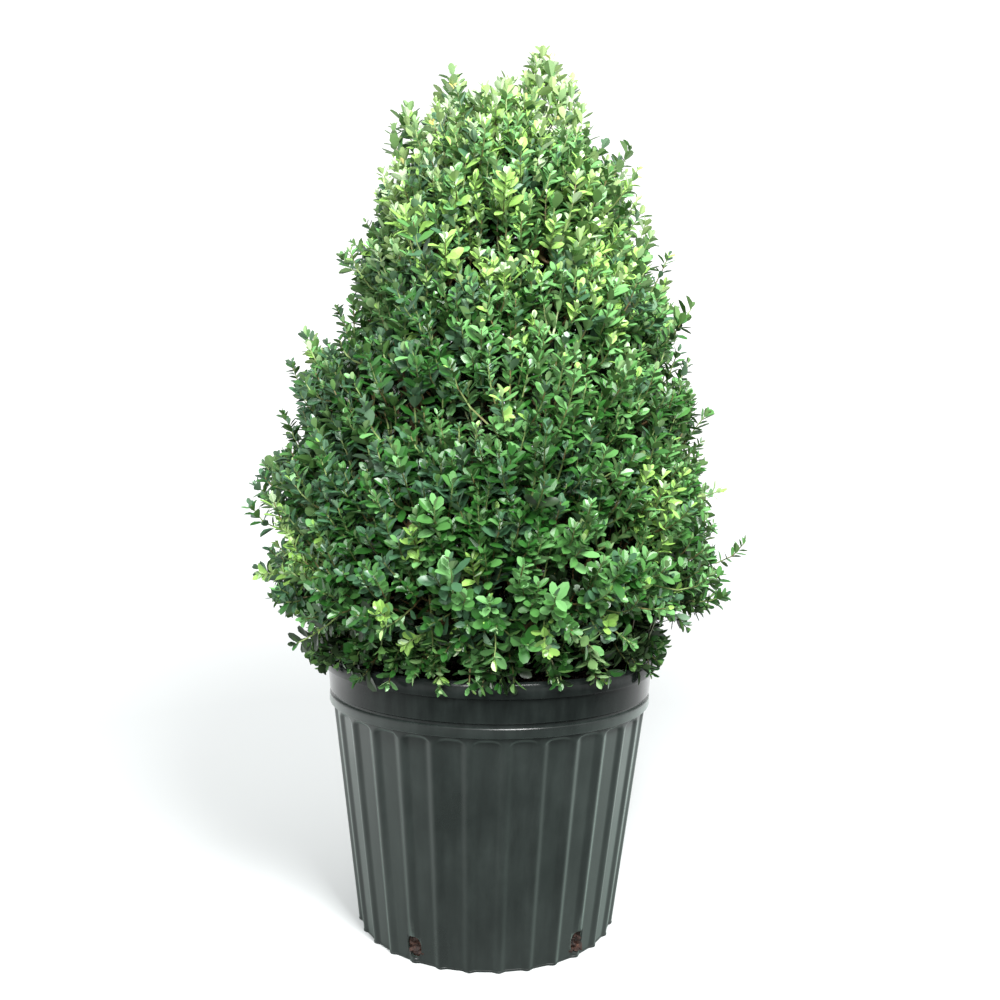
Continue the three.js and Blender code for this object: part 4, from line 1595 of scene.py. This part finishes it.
@dataclass
class Foliage:
    """Everything that grows from the boughs: hidden branches, twigs, leafy shoots and leaves."""

    crown: Crown
    masses: list[Mass]
    seed: int = 24
    branch_ends: int = 10
    branch_share: float = 0.72
    branch_arch: float = 0.006
    limb_radius: Span = (0.0052, 0.0030)
    branch_radius: Span = (0.0030, 0.0020)
    twig_radius: Span = (0.0020, 0.0012)
    twig_length: float = 0.05
    shoot_radius: Span = (0.0011, 0.0006)
    shoot_length: float = 0.035
    core_skin: float = 0.032
    core_gap: float = 0.003
    twig_spacing: float = 0.040
    twig_inset: float = 0.062
    foot_shoots: int = 260
    foot_radius: float = 0.165
    foot_heights: Span = (0.300, 0.345)
    sprig_length: Span = (0.012, 0.028)
    rise: Span = (2.1, -0.1)
    rise_fade: Span = (0.30, 0.46)
    rise_spread: float = 0.3
    way_spread: float = 0.25
    ragged: float = 0.024
    lip_radius: float = 0.181
    clear_of_lip: Span = (0.2925, 0.263)
    tint_bands: tuple[float, ...] = (0.12, 0.34, 0.52, 0.70, 0.86, 1.06)
    # Cool leaves lean to the left: partly a leaf colour, partly painted bluish shade on that side.
    cool_above: float = 0.335
    cool_patch: Span = (0.05, 0.2)
    cool_lean: float = 2.2
    cool_share: Span = (0.012, 0.02)
    # The deeper layers' fresh below nought darkens their leaves as painted shade, down to SHADED in the
    # inner layer and the core.
    outer: Layer = Layer(0.0160, 0.026, 0.010, 8, 0.0060, 0.02, sprigs=0.13)
    middle: Layer = Layer(0.0255, 0.043, 0.007, 6, 0.0064, -0.22)
    inner: Layer = Layer(0.032, 0.066, 0.006, 5, 0.0080, -0.60, gappy=0.25)
    core: Layer = Layer(0.036, 0.094, 0.008, 5, 0.0090, -0.90, gappy=0.0)
    gaps: Gaps = Gaps()
    skirt: Skirt = Skirt()
    habit: Habit = Habit()
    ageing: Ageing = Ageing()
    shape: LeafShape = field(default_factory=LeafShape)

    def owner(self, points: Array) -> Array:
        """Index of the mass that holds each point, or comes nearest to holding it."""
        return np.argmax([mass.wall_distance(points) for mass in self.masses], axis=0)

    def branches(self) -> Twigs:
        """Hidden branches: from each heart, golden-angle ways, by a share of the way out.

        Returns:
            The branches of every mass.
        """
        index = np.arange(self.branch_ends)
        height = 1 - (2 * index + 1) / self.branch_ends
        ways = around(index * GOLDEN_TURN, np.sqrt(1 - height ** 2), height)
        start, end, owner = [], [], []
        for number, mass in enumerate(self.masses):
            reach = mass.reach(self.crown, ways, self.core_skin, self.core_gap)
            start.append(np.tile(mass.heart, (self.branch_ends, 1)))
            end.append(mass.heart + ways * (self.branch_share * reach)[:, None])
            owner.append(np.full(self.branch_ends, number))
        start, end = np.concatenate(start), np.concatenate(end)
        control = (start + end) / 2 + UP * self.branch_arch
        return Twigs(start, control, end, *self.branch_radius, np.concatenate(owner))

    def stems(self) -> Twigs:
        """The limb that carries each mass on from its bough's tip to its heart.

        Returns:
            One limb for each mass.
        """
        start = np.array([mass.bough_tip for mass in self.masses])
        heading = np.array([mass.bough_heading for mass in self.masses])
        end = np.array([mass.heart for mass in self.masses])
        control = start + heading * length(end - start)[:, None] * 0.5
        start = start - heading * MM
        return Twigs(start, control, end, *self.limb_radius, np.arange(len(self.masses)))

    def grow(self, parents: Twigs, tips: Array, lift: Array, long: float, radii: Span) -> Twigs:
        """Joins each tip by a curve to the parent's end nearest to a spot straight behind it.

        Args:
            parents: The generation that the new one grows from.
            tips: Where the new twigs end.
            lift: Unit directions in which they end.
            long: How far behind the tip the spot lies, in metres.
            radii: Radius at the foot and at the tip.

        Returns:
            The new generation.
        """
        owner = self.owner(tips)
        apart = length((tips - lift * long)[:, None] - parents.end[None])
        apart += np.where(owner[:, None] == parents.mass[None], 0.0, 10.0)
        start = parents.end[np.argmin(apart, axis=1)]
        control = tips - lift * length(tips - start)[:, None] * 0.5
        return Twigs(start, control, tips, *radii, owner)

    def tuft_tips(self) -> Array:
        """Upright shoots of the tufts: one to each top, the rest lower down round it.

        Returns:
            One tip a row.
        """
        tips = []
        least, more = self.crown.tuft_drop
        for tuft in self.crown.tufts:
            index = np.arange(tuft.shoots)
            drop = least + more * index / tuft.shoots
            spread = self.crown.tuft_spread * tuft.width * drop * (index > 0)
            tips.append(around(index * GOLDEN_TURN, spread, tuft.top - drop) + [tuft.x, tuft.y, 0])
        return np.concatenate(tips)

    def foot_tips(self, rng: Random) -> tuple[Array, Array]:
        """Shaded shoots low inside the crown, over the bark mix, with the directions they face.

        Args:
            rng: Scatters them.

        Returns:
            Two arrays with one shoot a row.
        """
        bearing = np.arange(self.foot_shoots) * GOLDEN_TURN
        reach = self.foot_radius * np.sqrt(rng.uniform(0.15, 1, self.foot_shoots))
        tips = around(bearing, reach, rng.uniform(*self.foot_heights, self.foot_shoots))
        return tips, around(bearing, 1.0, 0.3)

    def sprig_tips(self) -> tuple[Array, Array]:
        """Tips of the lone sprigs, with the directions they face.

        Returns:
            Two arrays with one sprig a row.
        """
        tips, ways = [], []
        for sprig in self.crown.sprigs:
            bearing, height = math.radians(sprig.bearing_deg), np.array(sprig.z)
            skin = around(bearing, self.crown.radius(height), height)
            reach = self.crown.radius(height) - self.crown.hollow(skin) - self.outer.depth + sprig.out
            tips.append(around(bearing, reach, height))
            ways.append(around(bearing, 1.0, sprig.rise))
        return np.array(tips), np.array(ways)

    def shoots(self, rng: Random, parents: Twigs, layer: Layer) -> Twigs:
        """Grows one layer of leafy shoots; the low ones spread and the higher ones rise.

        Args:
            rng: Varies the shoots.
            parents: The generation that they grow from.
            layer: Their spacing and depth, and how many stand out as sprigs.

        Returns:
            The shoots. The layer with sprigs has the tufts, the skirt and the lone sprigs too, and
            the inner one has the low shoots over the bark mix.
        """
        tips, facing = self.crown.deal(layer.spacing, rng)
        grown = rng.uniform(size=len(tips)) > self.gaps.share(tips, self.crown) * layer.gappy
        tips, facing = tips[grown], facing[grown]
        count = len(tips)
        inset = layer.depth + self.crown.hollow(tips) + rng.uniform(-1, 1, count) * layer.spread
        missed = rng.uniform(size=count) < layer.sprigs
        inset -= np.where(missed, rng.uniform(*self.sprig_length, count), 0)
        tips = tips - facing * inset[:, None]
        upward, low = self.rise
        rise = upward * smooth(tips[:, 2], *self.rise_fade) + low
        added = []
        if layer.sprigs:
            tufts = self.tuft_tips()
            added.append((tufts, np.tile(UP, (len(tufts), 1)), 1.0))
            added.append((*self.skirt.tips(rng), low))
            added.append((*self.sprig_tips(), 0.0))
        if layer is self.inner:
            added.append((*self.foot_tips(rng), 0.0))
        for more, ways, up in added:
            tips, facing = np.concatenate([tips, more]), np.concatenate([facing, ways])
            rise = np.append(rise, np.full(len(more), up))
        rise = rise + rng.normal(0, self.rise_spread, len(tips))
        lift = unit(facing + UP * rise[:, None] + rng.normal(0, self.way_spread, facing.shape))
        return self.grow(parents, tips, lift, self.shoot_length, self.shoot_radius)

    def leaves_on(self, shoots: Twigs, rng: Random, layer: Layer) -> Leaves:
        """Opposite pairs of leaves down from each tip, each pair a quarter turn on.

        Args:
            shoots: The shoots that bear them.
            rng: Varies the leaves.
            layer: How many pairs there are, how far apart, and how fresh.

        Returns:
            The leaves, two for each pair.
        """
        habit, ageing, pairs = self.habit, self.ageing, layer.pairs
        place, height = np.arange(pairs), shoots.end[:, 2]
        vigour = habit.vigour(shoots.end, rng)
        back = layer.gap * vigour * place * (0.5 + 0.5 * place / (pairs - 1))
        t = 1 - back / shoots.length()[:, None]
        at = np.clip(t, 0, 1)
        grown = smooth(place.astype(float), *habit.growing_pairs)[None, :, None]
        heading, face = habit.stand(shoots.headings(at), grown, rng)
        many = heading.shape[:3]
        low = (1 - smooth(height, *habit.low_fade))[:, None, None]
        size = habit.young_size + habit.grown_size * grown + habit.low_size * low
        size = size * rng.uniform(*habit.size_limits, many) * vigour[..., None]
        size = np.where(t[..., None] > habit.bare_foot, size, 0)
        root = shoots.points(at)[:, :, None] + heading * habit.stalk
        # Painted shade: the leaves of the deeper layers are darker, less so near the top.
        deep = layer.fresh * (1 - ageing.deep_shade_share * smooth(height, *ageing.deep_shade_fade))
        tint = (ageing.of_shoots(shoots.end, self.crown, rng) + deep)[:, None, None]
        tint = tint + ageing.young_gain * (1 - grown) + rng.normal(0, ageing.leaf_spread, many)
        owner = np.broadcast_to(shoots.mass[:, None, None], many)
        flat = [a.reshape(-1, 3) for a in (root, heading, face)]
        form = [rng.uniform(*habit.broad_limits, size.size)]
        form += [rng.normal(*bend, size.size) for bend in (habit.cup, habit.curl)]
        return Leaves(*flat, size.ravel(), *form, owner.ravel(), tint.ravel())

    def keep(self, leaves: Leaves) -> Array:
        """Tells which leaves are grown, stay within the ragged outline and clear the pot's lip.

        Args:
            leaves: The leaves.

        Returns:
            True for each leaf that is kept.
        """
        tip = leaves.root + leaves.heading * (leaves.size * self.shape.length)[:, None]
        held = self.crown.inside(tip, -self.ragged) & self.crown.inside(leaves.root, -self.ragged)
        low = np.minimum(tip[:, 2], leaves.root[:, 2])
        over, beyond = self.clear_of_lip
        lowest = np.where(np.hypot(tip[:, 0], tip[:, 1]) > self.lip_radius, beyond, over)
        return held & (leaves.size > 0) & (low > lowest)

    def leaf_pieces(self, leaves: Leaves) -> None:
        """Joins the leaves of each mass and tint into a piece.

        In patches, mostly at the left, the share of the leaves that is picked by the remainder of their
        freshness turns cool: partly a leaf colour, partly painted bluish shade on the left side.

        Args:
            leaves: All the leaves of the crown.
        """
        band = np.digitize(leaves.tint, self.tint_bands)
        patch, edge = self.cool_patch
        cool = ripple(leaves.root, patch, seed=61) - self.cool_lean * leaves.root[:, 0] > edge
        some, step = self.cool_share
        cool &= (leaves.root[:, 2] > self.cool_above) & (leaves.tint % step < some)
        band = np.where(cool & (band > 0) & (band < 4), len(Tint) - 1, band)
        for number, tint in enumerate(Tint):
            materials = LeafCuticle(tint).materials()
            for index, mass in enumerate(self.masses):
                part = leaves.pick((band == number) & (leaves.mass == index))
                if len(part.size) == 0:
                    continue
                verts = self.shape.place(part).reshape(-1, 3)
                faces, slots = self.shape.faces(len(part.size))
                name = f"leaves_{mass.name}_{tint.name.lower()}"
                piece = mesh_object(name, verts, [faces], materials, slots, sharp_deg=26)
                dress(piece, "leaf", f"foliage_{mass.name}")

    def twig_pieces(self, generations: list[tuple[Twigs, int, int, int]]) -> None:
        """Joins all the wood inside each mass into a piece.

        Args:
            generations: Each generation with the steps and sides of its tubes and its material.
        """
        materials = [YoungWood().material("young_wood"), GreenShoot().material("green_shoot")]
        for index, mass in enumerate(self.masses):
            verts, groups, slots, base = [], [], [], 0
            for twigs, steps, sides, slot in generations:
                corner, faces = twigs.skin(twigs.mass == index, steps, sides)
                verts.append(corner)
                groups += [group + base for group in faces]
                slots += [np.full(len(group), slot) for group in faces]
                base += len(corner)
            piece = mesh_object(f"twigs_{mass.name}", np.concatenate(verts), groups, materials,
                                np.concatenate(slots), sharp_deg=80)
            dress(piece, "bark", f"foliage_{mass.name}")

    def build(self) -> None:
        """Grows every generation and joins it into pieces."""
        rng = np.random.default_rng(self.seed)
        branches = self.branches()
        tips, facing = self.crown.deal(self.twig_spacing, rng)
        tips = tips - facing * (self.twig_inset + self.crown.hollow(tips))[:, None]
        twigs = self.grow(branches, tips, unit(facing + UP * 0.5), self.twig_length, self.twig_radius)
        layers = {self.outer: twigs, self.middle: twigs, self.inner: branches, self.core: branches}
        grown = [self.shoots(rng, parents, layer) for layer, parents in layers.items()]
        sets = [self.leaves_on(shoots, rng, layer) for shoots, layer in zip(grown, layers)]
        names = Leaves.__dataclass_fields__
        leaves = Leaves(*(np.concatenate([getattr(one, name) for one in sets]) for name in names))
        leaves = leaves.pick(self.keep(leaves))
        LOG.info("leaves: %d", len(leaves.size))
        self.leaf_pieces(leaves)
        wood = [(self.stems(), 8, 10, 0), (branches, 5, 6, 0), (twigs, 4, 5, 0)]
        tube_sizes = ((4, 3, 1), (3, 3, 1), (3, 3, 0), (3, 3, 0))
        self.twig_pieces(wood + [(shoots, *sizes) for shoots, sizes in zip(grown, tube_sizes)])


# ---- the studio --------------------------------------------------------------------------


@dataclass
class Studio:
    """A pale floor, soft light all round and the camera that looks at the plant's front."""

    lens_mm: float = 35.46
    sensor_mm: float = 36.0
    distance: float = 1.059
    eye_height: float = 0.493
    eye_x: float = 0.0076
    pitch_down: float = 0.0424
    roll: float = 0.0177
    fill: Span = (0.46, 1.05)
    fill_heights: Span = (0.0, 0.9)
    back_fill: Span = (0.0, 0.8)
    back_ways: Span = (-0.6, 0.7)
    back_fade: Span = (1.0, 0.15)
    back_heights: Span = (0.2, 0.7)
    key_toward: Point = (-0.14, -0.87, 0.47)
    key_spread_deg: float = 20
    key_strength: float = 3.15
    softbox_place: Point = (0.36, -0.94, 1.22)
    softbox_aim: Point = (0, 0, 0.66)
    softbox_size: float = 0.4
    softbox_watts: float = 36

    def camera(self) -> None:
        """Sets the camera: level view along +Y, pitched down, then rolled about its own axis."""
        data = bpy.data.cameras.new("studio_camera")
        data.sensor_width = self.sensor_mm
        data.lens = self.lens_mm
        camera = add_object("studio_camera", data)
        tilt = Matrix.Rotation(math.pi / 2 - self.pitch_down, 4, "X")
        place = Matrix.Translation((self.eye_x, -self.distance, self.eye_height))
        camera.matrix_world = place @ tilt @ Matrix.Rotation(self.roll, 4, "Z")
        bpy.context.scene.camera = camera

    def floor(self) -> None:
        """Lays a broad round floor just under the pot."""
        bearing = circle(96)
        thick, under_pot = 0.05, 0.0002
        radii = np.array([0.0, 60.0, 60.0, 20.0, 6.0, 2.0, 0.5, 0.0])
        heights = np.array([-thick] * 2 + [0.0] * 6) - under_pot
        verts, faces = revolve(*(np.tile(part[:, None], (1, 96)) for part in (radii, heights)), bearing)
        mesh_object("studio_floor", verts, faces, [PaintedFloor().material()])

    def softbox(self) -> None:
        """Hangs a square softbox, which the camera does not see, so that it faces a point."""
        data = bpy.data.lights.new("side_softbox", "AREA")
        data.size = self.softbox_size
        data.energy = self.softbox_watts
        light = add_object("side_softbox", data)
        light.location = self.softbox_place
        way = Vector(self.softbox_aim) - Vector(self.softbox_place)
        light.rotation_euler = way.to_track_quat("-Z", "Y").to_euler()
        light.visible_camera = False

    def key_light(self) -> None:
        """Adds an even, soft-edged light from one direction, as strong as its irradiance in W/m2."""
        data = bpy.data.lights.new("even_light", "SUN")
        data.angle = math.radians(self.key_spread_deg)
        data.energy = self.key_strength
        light = add_object("even_light", data)
        light.rotation_euler = Vector(self.key_toward).to_track_quat("Z", "Y").to_euler()

    def sky(self) -> None:
        """Lights the room: white to the camera, else dim low in front and bright above and behind."""
        world = bpy.data.worlds.new("white_room")
        world.use_nodes = True
        tree = world.node_tree
        tree.nodes.clear()
        way = add_node(tree, "ShaderNodeTexCoord").outputs["Generated"]
        parts = add_node(tree, "ShaderNodeSeparateXYZ", inputs={"Vector": way})
        above = span(tree, parts.outputs["Z"], self.fill_heights, self.fill)
        behind = span(tree, parts.outputs["Y"], self.back_ways, self.back_fill)
        low = span(tree, parts.outputs["Z"], self.back_heights, self.back_fade)
        both = arithmetic(tree, "ADD", above, arithmetic(tree, "MULTIPLY", behind, low))
        seen = add_node(tree, "ShaderNodeLightPath").outputs["Is Camera Ray"]
        strength = arithmetic(tree, "MAXIMUM", both, seen)
        background = add_node(tree, "ShaderNodeBackground", inputs={"Strength": strength})
        background.inputs["Color"].default_value = linear("FFFFFF")
        add_node(tree, "ShaderNodeOutputWorld", inputs={"Surface": background.outputs[0]})
        bpy.context.scene.world = world

    def build(self) -> None:
        """Sets up the camera, floor and lights."""
        bpy.context.scene.view_settings.view_transform = "Standard"
        self.camera()
        self.floor()
        self.sky()
        self.key_light()
        self.softbox()


def main() -> None:
    """Builds the studio and every sub-assembly."""
    logging.basicConfig(level=logging.INFO, format="%(message)s")
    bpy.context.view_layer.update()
    Studio().build()
    Pot().build()
    GrowingMedium().build()
    crown = Crown()
    framework = Framework(crown)
    masses, boughs = framework.plan()
    framework.build(boughs)
    Foliage(crown, masses).build()


if __name__ == "__main__":
    main()
